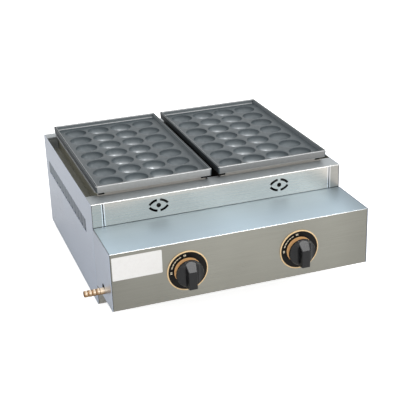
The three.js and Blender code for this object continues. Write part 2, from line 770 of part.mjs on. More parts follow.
function hoseBarb() {
  const tip = -halfWidth - barbReach;
  const shoulder = -halfWidth - barbPlain;
  const end = -halfWidth + sheet + nutLength / 2;
  const pitch = (shoulder - tip) / barbRibs;
  const ribs = Array.from({ length: barbRibs }, (_, rib) => {
    const start = tip + rib * pitch;
    return [[barbNeck, start], [barbRadius, start + pitch * ribPeakShare],
      [barbNeck, start + pitch * ribEndShare]];
  }).flat();
  const body = turnedAboutX([[0, tip], ...ribs, [barbNeck, end], [0, end]], tubeFacets);
  const bore = turnedAboutX(rod(barbBore, tip - overrun, tip + barbBoreDepth), tubeFacets);
  return body.subtract(bore).translate([0, -railSetback, railHeight]);
}

const railClamp = () => clampHalf(-1).subtract(railChannel());

function injector() {
  const start = -valveBack + seat;
  const hex = alongY(hexagon(2 * jetHex), start, start + jetHexLength - seat);
  const nose = turnedAboutY(rod(jetNose, start, start + jetHexLength + jetNoseLength), tubeFacets);
  const tip = start + jetHexLength + jetNoseLength;
  const orifice = turnedAboutY(rod(jetOrifice, tip - jetOrificeDepth, tip + overrun), fixingFacets);
  return joined([hex, nose]).subtract(orifice);
}

// Dial and knob, centred on the stem's axis with the panel's front face at zero and -Y outwards
function dial() {
  const back = -seat;
  const front = back - dialThickness;
  const ring = dialRadius - dialRim;
  return turnedAboutY([[plugRadius, back], [plugRadius, front], [ring, front], [ring, front - dialRimRise],
    [dialRadius, front - dialRimRise], [dialRadius, back], [plugRadius, back]], knobFacets);
}

function knob() {
  const back = -knobStandoff;
  const front = back - knobHeightOut;
  const skirt = back - knobSkirt;
  const crown = back - knobCrown;
  const body = turnedAboutY([[0, back], [knobRadius, back], [knobRadius, skirt],
    [knobFaceRadius, crown], [0, crown]], knobFacets);
  const scoop = turnedAboutZ(rod(scoopRadius, -knobRadius - overrun, knobRadius + overrun), knobFacets);
  const scoops = bothSides.map((way) => scoop.translate(
    [way * (gripFaceWidth / 2 + scoopRadius), crown + scoopDepth - scoopRadius, 0]));
  const reach = knobRadius - seat;
  const side = [[skirt, -gripLow], [front + gripCorner, -gripLow], [front, gripCorner - gripLow],
    [front, gripSlopeStart], [front + gripSlopeDrop, reach], [skirt, reach]];
  const bar = alongX(side, -gripWidth / 2, gripWidth / 2);
  const taper = alongZ([[-gripWidth / 2, back], [gripWidth / 2, back], [gripFaceWidth / 2, front - overrun],
    [-gripFaceWidth / 2, front - overrun]], -knobRadius - overrun, knobRadius + overrun);
  const round = turnedAboutY(rod(knobRadius, front - overrun, back), knobFacets);
  const grip = bar.intersect(taper).intersect(round);
  const socket = alongY(dOutline(stemRadius + seat, stemFlat + seat), back - socketDepth, back + overrun);
  return cutBy(joined([cutBy(body, scoops), grip]), [socket]);
}

function foot() {
  return turnedAboutZ([[0, -footHeight], [footTopRadius, -footHeight], [footRadius, -footHeight / 2],
    [footRadius, -seat], [0, -seat]], footFacets);
}

// Assembly
const sideName = (side) => (side < 0 ? 'left' : 'right');
const casing = new THREE.Group();

casing.add(
  meshOf('left_side_panel', sidePanel(-1), finishes.steel()),
  meshOf('right_side_panel', sidePanel(1), finishes.steel()),
  meshOf('back_panel', backPanel(), finishes.steel()),
  meshOf('rear_deck_rail', rearDeckRail(), finishes.steel()),
  meshOf('front_apron', frontApron(), finishes.steel()),
  meshOf('front_bulkhead', frontBulkhead(), finishes.steel()),
  meshOf('base_pan', basePan(), finishes.innerSteel()),
  meshOf('control_panel', controlPanel(), finishes.steel()),
  meshOf('control_box_left_side', inletSide(), finishes.steel()),
  meshOf('control_box_right_side', controlBoxSide(1), finishes.steel()),
  meshOf('control_box_bottom', controlBoxBottom(), finishes.innerSteel()),
  meshOf('gas_rail', gasRail(), finishes.innerSteel()),
  meshOf('inlet_nut', inletNut(), finishes.brass()),
  meshOf('hose_barb', hoseBarb(), finishes.brass()),
);

for (const side of bothSides) {
  const name = sideName(side);
  const controls = new THREE.Group();
  controls.position.set(side * knobX, 0, knobHeight);
  const onPanel = new THREE.Group();
  onPanel.position.y = -boxDepth;
  onPanel.add(
    meshOf(`dial_${name}`, dial(), finishes.dial()),
    meshOf(`knob_${name}`, knob(), finishes.knob()),
  );
  const shutter = meshOf(`air_shutter_${name}`, airShutter(), finishes.innerSteel());
  shutter.position.y = shutterFront;
  controls.add(
    onPanel,
    shutter,
    meshOf(`gas_valve_${name}`, gasValve(), finishes.brass()),
    meshOf(`valve_plug_${name}`, valvePlug(), finishes.brass()),
    meshOf(`valve_stem_${name}`, valveStem(), finishes.innerSteel()),
    meshOf(`injector_${name}`, injector(), finishes.brass()),
    meshOf(`rail_clamp_${name}`, railClamp(), finishes.innerSteel()),
  );

  const plate = meshOf(`cooking_plate_${name}`, cookingPlate(), finishes.castPlate());
  plate.position.set(side * plateX, plateY, plateUnderside);
  casing.add(
    controls,
    plate,
    meshOf(`firebox_${name}`, firebox(side), finishes.innerSteel()),
    meshOf(`burner_${name}`, burner(side), finishes.innerSteel()),
    meshOf(`burner_rest_${name}`, burnerRest(side), finishes.innerSteel()),
  );

  for (const [end, y] of [['front', footInset], ['rear', bodyDepth - footInset]]) {
    const rubber = meshOf(`foot_${end}_${name}`, foot(), finishes.rubber());
    rubber.position.set(side * (halfWidth - footInset), y, 0);
    casing.add(rubber);
  }
}

// The whole object stands on its feet, with the origin under the middle of its footprint
const foremost = -boxDepth - knobStandoff - knobHeightOut;
casing.position.set(barbReach / 2, -(foremost + bodyDepth) / 2, footHeight);

const group = new THREE.Group();
group.add(casing);
export default group;
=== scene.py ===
import math
from functools import partial
import bmesh
import bpy
from mathutils import Matrix, Vector


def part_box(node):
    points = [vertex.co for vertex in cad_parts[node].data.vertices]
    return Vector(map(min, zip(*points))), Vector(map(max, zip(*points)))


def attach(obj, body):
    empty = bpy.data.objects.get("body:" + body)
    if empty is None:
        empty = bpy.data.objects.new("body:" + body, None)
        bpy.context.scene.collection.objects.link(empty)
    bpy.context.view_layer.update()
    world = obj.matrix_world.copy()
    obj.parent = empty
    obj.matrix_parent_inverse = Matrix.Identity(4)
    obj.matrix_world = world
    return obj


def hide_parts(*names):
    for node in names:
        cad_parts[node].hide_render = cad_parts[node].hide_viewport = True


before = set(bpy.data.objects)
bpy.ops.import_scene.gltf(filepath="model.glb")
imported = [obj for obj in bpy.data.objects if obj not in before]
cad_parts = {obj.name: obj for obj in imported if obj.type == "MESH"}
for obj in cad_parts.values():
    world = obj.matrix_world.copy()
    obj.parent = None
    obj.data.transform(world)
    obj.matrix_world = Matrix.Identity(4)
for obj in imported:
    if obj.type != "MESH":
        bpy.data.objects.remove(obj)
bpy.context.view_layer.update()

# Pieces are laid out in millimetres from the casing's front lower edge, in the middle of its width
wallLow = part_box("left_side_panel")[0]
origin = Vector(((wallLow.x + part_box("right_side_panel")[1].x) / 2, wallLow.y, wallLow.z))
sides = {"left": -1, "right": 1}


def addObject(name, data):
    made = bpy.data.objects.new(name, data)
    bpy.context.scene.collection.objects.link(made)
    return made


def boxOf(node):
    low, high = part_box(node)
    return (low - origin) * 1000, (high - origin) * 1000


def middleOf(node):
    low, high = boxOf(node)
    return (low + high) / 2


def outermost(node, side):
    low, high = boxOf(node)
    return high.x if side == "right" else low.x


# Camera
camera = {
    "target": (8.87, 135.0, 100.36), "distance": 1840.4, "azimuth": -18.66, "elevation": 23.02,
    "roll": -2.08, "lens": 88.88,
}


def makeCamera(values):
    azimuth = math.radians(values["azimuth"])
    elevation = math.radians(values["elevation"])
    back = Vector((math.sin(azimuth) * math.cos(elevation), -math.cos(azimuth) * math.cos(elevation),
            math.sin(elevation)))
    data = bpy.data.cameras.new("camera")
    data.lens = values["lens"]
    holder = addObject("camera", data)
    holder.location = origin + (Vector(values["target"]) + back * values["distance"]) / 1000
    holder.rotation_mode = "QUATERNION"
    turn = Matrix.Rotation(math.radians(values["roll"]), 3, "Z").to_quaternion()
    holder.rotation_quaternion = (-back).to_track_quat("-Z", "Y") @ turn
    bpy.context.scene.camera = holder


makeCamera(camera)
print("camera made")


# Materials
def linear(hexColour):
    channels = [int(hexColour[i:i + 2], 16) / 255 for i in (1, 3, 5)]
    return tuple(c / 12.92 if c <= 0.04045 else ((c + 0.055) / 1.055) ** 2.4 for c in channels) + (1,)


def feed(node, inputs):
    # An input takes a value, a hex colour, a socket, or another node for its first output in use
    for socket, value in inputs.items():
        if isinstance(value, bpy.types.Node):
            value = next(output for output in value.outputs if output.enabled)
        if isinstance(value, bpy.types.NodeSocket):
            node.id_data.links.new(value, node.inputs[socket])
        else:
            node.inputs[socket].default_value = linear(value) if isinstance(value, str) else value


def addNode(tree, kind, inputs=None, **settings):
    # A Map Range's inputs: 0 is its value, 1 and 2 the range it comes from, 3 and 4 the new range
    node = tree.nodes.new("ShaderNode" + kind)
    if kind == "Mix":
        node.data_type = "RGBA"
    for name, value in settings.items():
        setattr(node, name, value)
    feed(node, inputs or {})
    return node


def newMaterial(name, colour, roughness, metallic=0.0, **sockets):
    material = bpy.data.materials.new(name)
    material.use_nodes = True
    shader = material.node_tree.nodes["Principled BSDF"]
    feed(shader, {"Base Color": colour, "Roughness": roughness, "Metallic": metallic})
    feed(shader, {socket.replace("_", " "): value for socket, value in sockets.items()})
    return material, shader, partial(addNode, material.node_tree)


def distanceFrom(add, value, place):
    offset = add("Math", {0: value, 1: place}, operation="SUBTRACT")
    return add("Math", {0: offset}, operation="ABSOLUTE")


satin = {
    "streakWidth": 0.0008,  # m; the real grit leaves 0.1 mm, drawn coarser so that it shows
    "streakLength": 0.07, "cloudsPerMetre": 9.0, "contrast": (0.7, 1.3), "smoother": 0.04,
    "rougher": 0.06,
}


def satinSheet(name, darker, lighter, grainAlong, roughness):
    # 430 stainless sheet, belt-ground to a satin finish: fine streaks along the rolling direction that
    # spread each reflection across the grain, and a faint cloudiness from handling
    material, shader, add = newMaterial(name, lighter, roughness, 1.0)
    place = add("TexCoord").outputs["Object"]
    scale = [1 / satin["streakLength" if axis == grainAlong else "streakWidth"] for axis in "XYZ"]
    streaks = add("Mapping", {"Vector": place, "Scale": scale})
    grain = add("TexNoise", {"Vector": streaks, "Scale": 1.0, "Detail": 3.0})
    cloud = add("TexNoise", {"Vector": place, "Scale": satin["cloudsPerMetre"], "Detail": 2.0})
    blended = add("Math", {0: grain, 1: cloud}, operation="ADD")
    least, most = satin["contrast"]
    factor = add("MapRange", {0: blended, 1: least, 2: most})
    tint = add("Mix", {"Factor": factor, "A": darker, "B": lighter})
    rough = add("MapRange", {0: blended, 1: least, 2: most, 3: roughness - satin["smoother"],
            4: roughness + satin["rougher"]})
    bump = add("Bump", {"Height": grain, "Strength": 0.02, "Distance": 0.0002})
    feed(shader, {"Base Color": tint, "Roughness": rough, "Normal": bump})
    return material


def paintOver(material, blending, layerOf):
    # Lays a colour over a material's own; layerOf makes its factor and colour from the place in X
    add = partial(addNode, material.node_tree)
    shader = material.node_tree.nodes["Principled BSDF"]
    place = add("TexCoord").outputs["Object"]
    across = add("SeparateXYZ", {"Vector": place}).outputs["X"]
    plain = shader.inputs["Base Color"].links[0].from_socket
    layer = {"A": plain, **layerOf(add, across)}
    feed(shader, {"Base Color": add("Mix", layer, blend_type=blending)})


def addPaintedGlint(material, middle, width):
    # A painted highlight: a white line, that many mm from the middle on both sides, where a sheet's edge
    # turns in to a seam
    def line(add, across):
        aside = distanceFrom(add, distanceFrom(add, across, origin.x), middle / 1000)
        near = add("MapRange", {0: aside, 1: width / 2000, 2: width / 2600})
        return {"Factor": near, "B": "#ffffff"}

    paintOver(material, "MIX", line)


def addPaintedTones(material, reach, tones):
    # Painted reflections: duller and brighter zones along X, from -reach to reach mm, as greys at evenly
    # spaced places
    def zones(add, across):
        along = add("MapRange", {0: across, 1: origin.x - reach / 1000, 2: origin.x + reach / 1000})
        ramp = add("ValToRGB", {"Fac": along})
        ramp.color_ramp.interpolation = "EASE"
        while len(ramp.color_ramp.elements) < len(tones):
            ramp.color_ramp.elements.new(0.5)
        for i, tone in enumerate(tones):
            ramp.color_ramp.elements[i].position = i / (len(tones) - 1)
            ramp.color_ramp.elements[i].color = (tone, tone, tone, 1)
        return {"Factor": 1.0, "B": ramp}

    paintOver(material, "MULTIPLY", zones)


def speckled(name, darker, lighter, roughness, metallic, spot, strength, **sockets):
    # A base with spots of a real size in millimetres: mill scale, moulded grain or dusty rubber
    material, shader, add = newMaterial(name, lighter, roughness, metallic, **sockets)
    place = add("TexCoord").outputs["Object"]
    spots = add("TexNoise", {"Vector": place, "Scale": 1000 / spot, "Detail": 4.0})
    tint = add("Mix", {"Factor": spots, "A": darker, "B": lighter})
    bump = add("Bump", {"Height": spots, "Strength": strength, "Distance": 0.0003})
    feed(shader, {"Base Color": tint, "Normal": bump})
    return material


# In mm from the middle: how far the painted reflection tones reach, and each painted highlight's place and
# width
sheen = {
    "panel": (230, (0.82, 0.9, 1.05, 1.03, 1.0, 1.0, 0.86)),
    "ledge": (230, (0.92, 0.86, 0.86, 0.92, 1.0, 0.95, 0.92, 0.88, 0.56)),
    "apron": (207, (0.98, 1.04, 1.02, 1.0, 1.06, 1.16, 1.2)),
    "apronGlint": (204.6, 2.2), "postGlint": (208.4, 2.0),
}

# The same satin stainless on every sheet, in copies whose base colours are painted reflections: the panel's
# face darker and warmer
panelSteel = satinSheet("stainlessPanelSatin", "#9c9b92", "#a6a59c", "X", 0.30)
addPaintedTones(panelSteel, *sheen["panel"])
# The ledge painted bright and bluish, as the reflection on it
ledgeSteel = satinSheet("stainlessLedgeBright", "#c2d4df", "#cadce7", "X", 0.44)
addPaintedTones(ledgeSteel, *sheen["ledge"])
# The apron painted paler than the panel's face, as the reflection on it
apronSteel = satinSheet("stainlessApronSatin", "#cbc8c1", "#d5d1c9", "X", 0.26)
addPaintedTones(apronSteel, *sheen["apron"])
addPaintedGlint(apronSteel, *sheen["apronGlint"])
# Posts beside the apron, as painted reflections; the right one is painted darker, as shade, and is rougher
postSteel = {
    "left": satinSheet("stainlessPostSatin", "#c4c2bb", "#cdcbc4", "X", 0.26),
    "right": satinSheet("stainlessPostShaded", "#b2b0aa", "#bbb9b3", "X", 0.30),
}
for steel in postSteel.values():
    addPaintedGlint(steel, *sheen["postGlint"])
# Side sheets painted cool blue-grey, as the reflection on them
sideSteel = satinSheet("stainlessSideSatin", "#b9c0cd", "#c3cbd7", "Y", 0.30)
# The folds are painted near white, as the highlight along each bend
foldHighlight = satinSheet("stainlessFoldHighlight", "#f0f3f5", "#ffffff", "X", 0.14)
# Plain galvanised and mill-finish sheet inside: dull, cloudy
innerSteel = speckled("galvanisedSheet", "#77756e", "#8f8d86", 0.5, 1.0, 9, 0.05)
linerSteel = speckled("galvanisedLiner", "#82827a", "#94948c", 0.5, 0.5, 9, 0.05)
# Painted shade in seams, grooves and holes: the shadow line where two sheets meet, and dark hollows
seamShade = speckled("seamPaintedShade", "#24262a", "#34373c", 0.8, 0.0, 2, 0.1)
# Top of the deck under the plates' ends, dulled by wiping and heat
deckSteel = speckled("stainlessDeckDull", "#a9afb2", "#babfc1", 0.45, 0.45, 7, 0.05)
# Rear ends of the channels and the rear rail's front flange, painted paler than the liner against their shade
channelEndLit = speckled("stainlessChannelEndLit", "#8b8f90", "#9a9d9e", 0.5, 0.45, 7, 0.05)
# Welded pipe burner, matt grey from firing
burnerSteel = speckled("firedBurnerPipe", "#33302d", "#4a4540", 0.7, 0.6, 4, 0.25)
# Turned valve parts, out of the weather: yellow brown with a dull shine
brass = speckled("turnedBrass", "#80602f", "#c3a06c", 0.24, 1.0, 3, 0.05)
# Casting bare of its coat, rubbed pale along rims and lips, and painted highlight lines on the plates'
# bottom bevels, the back rims' feet and the liners' lips
wornEdgeAndHighlight = speckled("castAluminiumBareAndHighlight", "#b4b6b7", "#cfd1d1", 0.34, 0.7, 6, 0.05)
print("shared materials made")


# Meshes
turnTo = {"X": Matrix.Rotation(-math.pi / 2, 4, "Y"), "Y": Matrix.Rotation(math.pi / 2, 4, "X"),
        "Z": Matrix.Identity(4)}
past = 5  # mm by which a cutter reaches past what it cuts
sheet = {
    "thick": 1.2, "bend": 1.6, "bendSteps": 6, "seam": 0.8, "seamDepth": 0.7, "gap": 0.3,
}


def meshOf(bm, name):
    mesh = bpy.data.meshes.new(name)
    bm.to_mesh(mesh)
    bm.free()
    return mesh


def finishPiece(name, bm, material, replaces=(), body="casing", sharpAngle=35):
    bmesh.ops.scale(bm, vec=(0.001, 0.001, 0.001), verts=bm.verts)
    bmesh.ops.translate(bm, vec=origin, verts=bm.verts)
    mesh = meshOf(bm, name)
    mesh.polygons.foreach_set("use_smooth", [True] * len(mesh.polygons))
    mesh.set_sharp_from_angle(angle=math.radians(sharpAngle))
    mesh.materials.append(material)
    piece = addObject(name, mesh)
    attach(piece, body)
    if replaces:
        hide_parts(*replaces)
    return piece


def paint(piece, material, chosen):
    # A further material for the faces that the test chooses by their place in mm and their normal
    piece.data.materials.append(material)
    for polygon in piece.data.polygons:
        if chosen((polygon.center - origin) * 1000, polygon.normal):
            polygon.material_index = len(piece.data.materials) - 1


def vertsOf(result):
    return [part for part in result["geom"] if isinstance(part, bmesh.types.BMVert)]


def edgesOf(result, key="geom"):
    return [part for part in result[key] if isinstance(part, bmesh.types.BMEdge)]


def chain(bm, points):
    verts = [bm.verts.new(point) for point in points]
    return [bm.edges.new(pair) for pair in zip(verts, verts[1:])]


def addBox(bm, corner, opposite):
    low, high = (Vector(ends) for ends in zip(*map(sorted, zip(corner, opposite))))
    place = Matrix.Translation((low + high) / 2) @ Matrix.Diagonal((*(high - low), 1))
    return bmesh.ops.create_cube(bm, size=1, matrix=place)["verts"]


def addRod(bm, centre, axis, radius, depth, segments=32):
    bmesh.ops.create_cone(bm, cap_ends=True, segments=segments, radius1=radius, radius2=radius, depth=depth,
            matrix=Matrix.Translation(centre) @ turnTo[axis])


def roundEdges(bm, edges, radius, segments, **settings):
    bmesh.ops.bevel(bm, geom=edges, offset=radius, offset_type="OFFSET", segments=segments, profile=0.5,
            affect="EDGES", material=-1, **settings)


def outwards(bm):
    bmesh.ops.remove_doubles(bm, verts=bm.verts, dist=0.001)
    bmesh.ops.recalc_face_normals(bm, faces=bm.faces)
    if bm.calc_volume(signed=True) < 0:
        bmesh.ops.reverse_faces(bm, faces=bm.faces)


def foldedSheet(corners, along, start, end, outward, thickness=sheet["thick"]):
    # A sheet folded along the given corners of its outer face, which looks towards outward
    bm = bmesh.new()
    step = Vector((end - start, 0, 0)) if along == "X" else Vector((0, 0, end - start))
    points = [(start, a, b) if along == "X" else (a, b, start) for a, b in corners]
    pulled = bmesh.ops.extrude_edge_only(bm, edges=chain(bm, points))
    bmesh.ops.translate(bm, vec=step, verts=vertsOf(pulled))
    bm.normal_update()
    bm.faces.ensure_lookup_table()
    faceOut = max(bm.faces, key=lambda face: abs(face.normal.dot(outward)) * face.calc_area())
    if faceOut.normal.dot(outward) < 0:
        bmesh.ops.reverse_faces(bm, faces=bm.faces)
    folds = [edge for edge in bm.edges if len(edge.link_faces) == 2]
    roundEdges(bm, folds, sheet["bend"], sheet["bendSteps"])
    bm.normal_update()
    bmesh.ops.solidify(bm, geom=bm.faces[:], thickness=thickness)
    outwards(bm)
    return bm


def combined(whole, part, operation="DIFFERENCE"):
    # The first mesh with the second one cut from it or joined to it
    made = [addObject("part", meshOf(source, "part")) for source in (whole, part)]
    step = made[0].modifiers.new("step", "BOOLEAN")
    step.operation = operation
    step.solver = "EXACT"
    step.object = made[1]
    mesh = made[0].evaluated_get(bpy.context.evaluated_depsgraph_get()).to_mesh()
    result = bmesh.new()
    result.from_mesh(mesh)
    for holder in made:
        bpy.data.objects.remove(holder)
    return result


def cutBox(bm, corner, opposite):
    cutter = bmesh.new()
    addBox(cutter, corner, opposite)
    return combined(bm, cutter)


def turned(profile, steps, centre=(0, 0, 0), axis="Y"):
    bm = bmesh.new()
    edges = chain(bm, [(r, 0, along) for r, along in profile])
    ends = [vert for edge in edges for vert in edge.verts]
    bmesh.ops.spin(bm, geom=list(set(ends)) + edges, cent=(0, 0, 0), axis=(0, 0, 1), dvec=(0, 0, 0),
            angle=math.tau, steps=steps, use_merge=True)
    outwards(bm)
    bmesh.ops.transform(bm, matrix=Matrix.Translation(centre) @ turnTo[axis], verts=bm.verts)
    return bm


def ringSector(bm, inner, outer, front, back, fromAngle, toAngle, centre, steps=12):
    # A curved bar in the X-Z plane, from its start face swept about the Y axis through centre
    start = Matrix.Rotation(-fromAngle, 3, "Y")
    corners = [(inner, front, 0), (outer, front, 0), (outer, back, 0), (inner, back, 0)]
    verts = [bm.verts.new(Vector(centre) + start @ Vector(corner)) for corner in corners]
    face = bm.faces.new(verts)
    bmesh.ops.spin(bm, geom=[face, *face.edges, *verts], cent=centre, axis=(0, -1, 0), dvec=(0, 0, 0),
            angle=toAngle - fromAngle, steps=steps)


# Side panels
sidePanel = {
    "rearReturn": 15, "frontDeck": 39.5, "rearDeck": 24, "louvres": 12, "pitch": 26,
    "middle": 201, "louvreLength": 21, "louvreLow": 115.5, "louvreHigh": 139.5,
    "blade": ((0, -0.5), (0.6, 3), (3.3, 9), (5.5, 18)),  # inwards, and forwards from the slot's rear end
    "bladeThick": 0.8, "shadeDepth": (1, 3.6), "shadeFrontToRear": (90, 290), "footLineBelow": 1,
}


def shadedLouvre():
    # Pressed louvre blades keep the dull back of the sheet, with painted shade where they lie deep, and most
    # so near the front
    material, shader, add = newMaterial("stainlessLouvreShaded", "#858b95", 0.4, 1.0)
    place = add("TexCoord").outputs["Object"]
    axes = add("SeparateXYZ", {"Vector": place}).outputs
    fromMiddle = distanceFrom(add, axes["X"], origin.x)
    inwards = add("Math", {0: origin.x - wallLow.x, 1: fromMiddle}, operation="SUBTRACT")
    shallowest, deepest = sidePanel["shadeDepth"]
    deep = add("MapRange", {0: inwards, 1: shallowest / 1000, 2: deepest / 1000})
    start, end = (origin.y + behind / 1000 for behind in sidePanel["shadeFrontToRear"])
    rear = add("MapRange", {0: axes["Y"], 1: start, 2: end})
    shallow, deepShade = (add("Mix", {"Factor": rear, "A": front, "B": back})
            for front, back in (("#8b9199", "#9299a0"), ("#25282c", "#747b82")))
    feed(shader, {"Base Color": add("Mix", {"Factor": deep, "A": shallow, "B": deepShade})})
    return material


def makeSidePanel(side):
    sign = sides[side]
    low, high = boxOf(f"{side}_side_panel")
    outer, post = (high.x, low.x) if sign > 0 else (low.x, high.x)
    inside = outer - sign * sheet["thick"]
    rearPost = outer - sign * sidePanel["rearReturn"]
    corners = [(post, low.y), (outer, low.y), (outer, high.y), (rearPost, high.y)]
    panel = foldedSheet(corners, "Z", low.z, high.z, Vector((sign, 0, 0)))
    # The decks' ends lie over the panel, and the louvres open through it
    cutter = bmesh.new()
    deckLow = high.z - sheet["thick"] - sheet["gap"]
    frontDeck, rearDeck = sidePanel["frontDeck"], high.y - sidePanel["rearDeck"]
    for front, back in ((low.y - past, frontDeck), (rearDeck, high.y + past)):
        addBox(cutter, (inside, front, deckLow), (post - sign * past, back, high.z + past))
    half = sidePanel["louvreLength"] / 2
    slotLow, slotHigh = sidePanel["louvreLow"], sidePanel["louvreHigh"]
    count, pitch = sidePanel["louvres"], sidePanel["pitch"]
    middles = [sidePanel["middle"] + (i - (count - 1) / 2) * pitch for i in range(count)]
    for middle in middles:
        addBox(cutter, (outer + sign * past, middle - half, slotLow),
                (outer - sign * past, middle + half, slotHigh))
    panel = combined(panel, cutter)
    # Seams beside the apron and at the post's foot
    seamBack = low.y + sheet["seamDepth"]
    seamOuter = outer - sign * sheet["bend"]
    seamInner = seamOuter - sign * sheet["seam"]
    footLine, below = boxOf("control_panel")[1].z, sidePanel["footLineBelow"]
    panel = cutBox(panel, (seamOuter, low.y - 1, low.z - 1), (seamInner, seamBack, high.z + 1))
    panel = cutBox(panel, (post - sign, low.y - 1, footLine - below),
            (seamOuter, seamBack, footLine + sheet["seam"]))
    for middle in middles:
        bends = [(outer - sign * inwards, middle + half - forwards, slotLow)
                for inwards, forwards in sidePanel["blade"]]
        blade = bmesh.ops.extrude_edge_only(panel, edges=chain(panel, bends))
        bmesh.ops.translate(panel, vec=(0, 0, slotHigh - slotLow), verts=vertsOf(blade))
        faces = [part for part in blade["geom"] if isinstance(part, bmesh.types.BMFace)]
        bmesh.ops.solidify(panel, geom=faces, thickness=sidePanel["bladeThick"])
    outwards(panel)
    piece = finishPiece(f"sidePanel_{side}", panel, sideSteel, [f"{side}_side_panel"])
    # Painted shade on the louvres' blades where they lie deep
    bladeReach = sidePanel["blade"][-1][0] + 2
    paint(piece, bladeSteel, lambda at, normal: slotLow <= at.z <= slotHigh and abs(normal.z) < 0.5
            and 0.4 < abs(at.x - outer) < bladeReach and at.y > frontDeck)
    paint(piece, postSteel[side], lambda at, normal: at.y < 0.1 and normal.y < -0.9)
    paint(piece, linerSteel, lambda at, normal: normal.x * sign < -0.9 and at.y > 2
            and abs(at.x - inside) < 0.1)
    # Painted shade in the seams' grooves and along the post's inner edge
    paint(piece, seamShade, lambda at, normal: 0.1 < at.y < sheet["thick"] + 0.1 and (
        0 <= abs(at.x - outer) - sheet["bend"] <= sheet["seam"] and normal.y < -0.9
        or abs(at.x - post) < 0.1 and abs(normal.x) > 0.9
        or abs(at.z - footLine) < below + 0.1 and abs(normal.x) < 0.5))


# Apron with its two vents, each a pair of lids round a hole for the lighter
apron = {
    "rearLip": 8, "footGap": 0.5, "faceEdge": 205.7, "faceBack": 2.7, "ventSpacing": 220.6,
    "ventHeight": 164.3, "ventWidth": 40, "ventRise": 12, "slot": 4.2, "slotGap": 5.8, "slotEnd": 2.2,
    "hole": 8,
}


def cutVent(cutter, x):
    half, rise = apron["ventWidth"] / 2, apron["ventRise"]
    lid = (half ** 2 + rise ** 2) / (2 * rise)
    gap = math.asin(apron["slotGap"] / 2 / lid)
    reach = math.asin((half - apron["slotEnd"]) / lid)
    for way in (-1, 1):
        centre = (x, 0, apron["ventHeight"] - way * (lid - rise))
        for turn in (-1, 1):
            ends = sorted((way * math.pi / 2 + turn * gap, way * math.pi / 2 + turn * reach))
            ringSector(cutter, lid - apron["slot"], lid, -past, past, ends[0], ends[1], centre)
    addRod(cutter, (x, 0, apron["ventHeight"]), "Y", apron["hole"] / 2, 2 * past)


# Painted highlight along the top front fold
def paintFoldHighlight(piece, front, top):
    paint(piece, foldHighlight, lambda at, normal: normal.y < -0.5 and normal.z > 0.4
            and at.y < front + sheet["bend"] and at.z > top - sheet["bend"])


def makeApron():
    low, high = boxOf("front_apron")
    corners = [(high.y, high.z - apron["rearLip"]), (high.y, high.z), (low.y, high.z),
            (low.y, low.z + apron["footGap"])]
    made = foldedSheet(corners, "X", low.x, high.x, Vector((0, -1, 0)))
    cutter = bmesh.new()
    for side, sign in sides.items():
        addBox(cutter, (sign * apron["faceEdge"], -past, low.z - past),
                (sign * (high.x + past), apron["faceBack"], high.z - sheet["thick"]))
        collarLow, collarHigh = boxOf(f"firebox_{side}")
        addBox(cutter, (collarLow.x - sheet["gap"], collarLow.y - sheet["gap"], low.z - past),
                (collarHigh.x + sheet["gap"], high.y + past, high.z + past))
        cutVent(cutter, sign * apron["ventSpacing"] / 2)
    bmesh.ops.recalc_face_normals(cutter, faces=cutter.faces)
    made = combined(made, cutter)
    piece = finishPiece("frontApron", made, apronSteel, ["front_apron"])
    paintFoldHighlight(piece, low.y, high.z)
    paint(piece, deckSteel, lambda at, normal: normal.z > 0.9 and at.y > sheet["bend"])
    # The punched edges of the vents are painted dark, as the shade inside them
    paint(piece, seamShade, lambda at, normal: abs(normal.y) < 0.5 and 0.05 < at.y < sheet["thick"] - 0.05
            and abs(abs(at.x) - apron["ventSpacing"] / 2) < apron["ventWidth"] / 2 + 1
            and abs(at.z - apron["ventHeight"]) < apron["ventRise"] + 1)


# Rear rail of the deck, whose upright is shorter than its top
rearRail = {
    "frontLip": 8, "uprightEdge": 212.2, "uprightFront": 385.2,
}


def makeRearRail():
    low, high = boxOf("rear_deck_rail")
    corners = [(high.y, low.z), (high.y, high.z), (low.y, high.z), (low.y, high.z - rearRail["frontLip"])]
    rail = foldedSheet(corners, "X", low.x, high.x, Vector((0, 1, 0)))
    cutter = bmesh.new()
    for sign in sides.values():
        addBox(cutter, (sign * rearRail["uprightEdge"], rearRail["uprightFront"], low.z - past),
                (sign * (high.x + past), high.y + past, high.z - sheet["thick"]))
    piece = finishPiece("rearDeckRail", combined(rail, cutter), apronSteel,
            ["rear_deck_rail"])
    paint(piece, deckSteel, lambda at, normal: normal.z > 0.9)
    # Front flange painted paler, against the shade and the channel's dark reflection
    paint(piece, channelEndLit, lambda at, normal: normal.y < -0.5)


# Control box
controlPanel = {
    "lip": 12, "sideGap": 0.5, "ledgeEdge": 207.2, "shaftHole": 6.2,
}
boxWall = {
    "rearReturn": 12, "topGap": 1.5, "hole": 8.8, "holeBehind": 3.2, "holeAbove": 1.8,
    "holeSegments": 40,
}


def makeControlPanel():
    low, high = boxOf("control_panel")
    lip, gap = controlPanel["lip"], controlPanel["sideGap"]
    corners = [(high.y, high.z - lip), (high.y, high.z), (low.y, high.z), (low.y, low.z),
            (low.y + lip, low.z)]
    panel = foldedSheet(corners, "X", low.x + gap, high.x - gap, Vector((0, -1, 0)))
    cutter = bmesh.new()
    for side, sign in sides.items():
        addBox(cutter, (sign * controlPanel["ledgeEdge"], -sheet["gap"], low.z),
                (sign * (high.x + past), high.y + past, high.z + past))
        shaft = middleOf(f"dial_{side}")
        addRod(cutter, (shaft.x, low.y, shaft.z), "Y", controlPanel["shaftHole"], 2 * past)
    panel = combined(panel, cutter)
    piece = finishPiece("controlPanel", panel, panelSteel, ["control_panel"])
    paint(piece, ledgeSteel, lambda at, normal: at.z > high.z - 0.4 and normal.z > 0.8)
    paintFoldHighlight(piece, low.y, high.z)


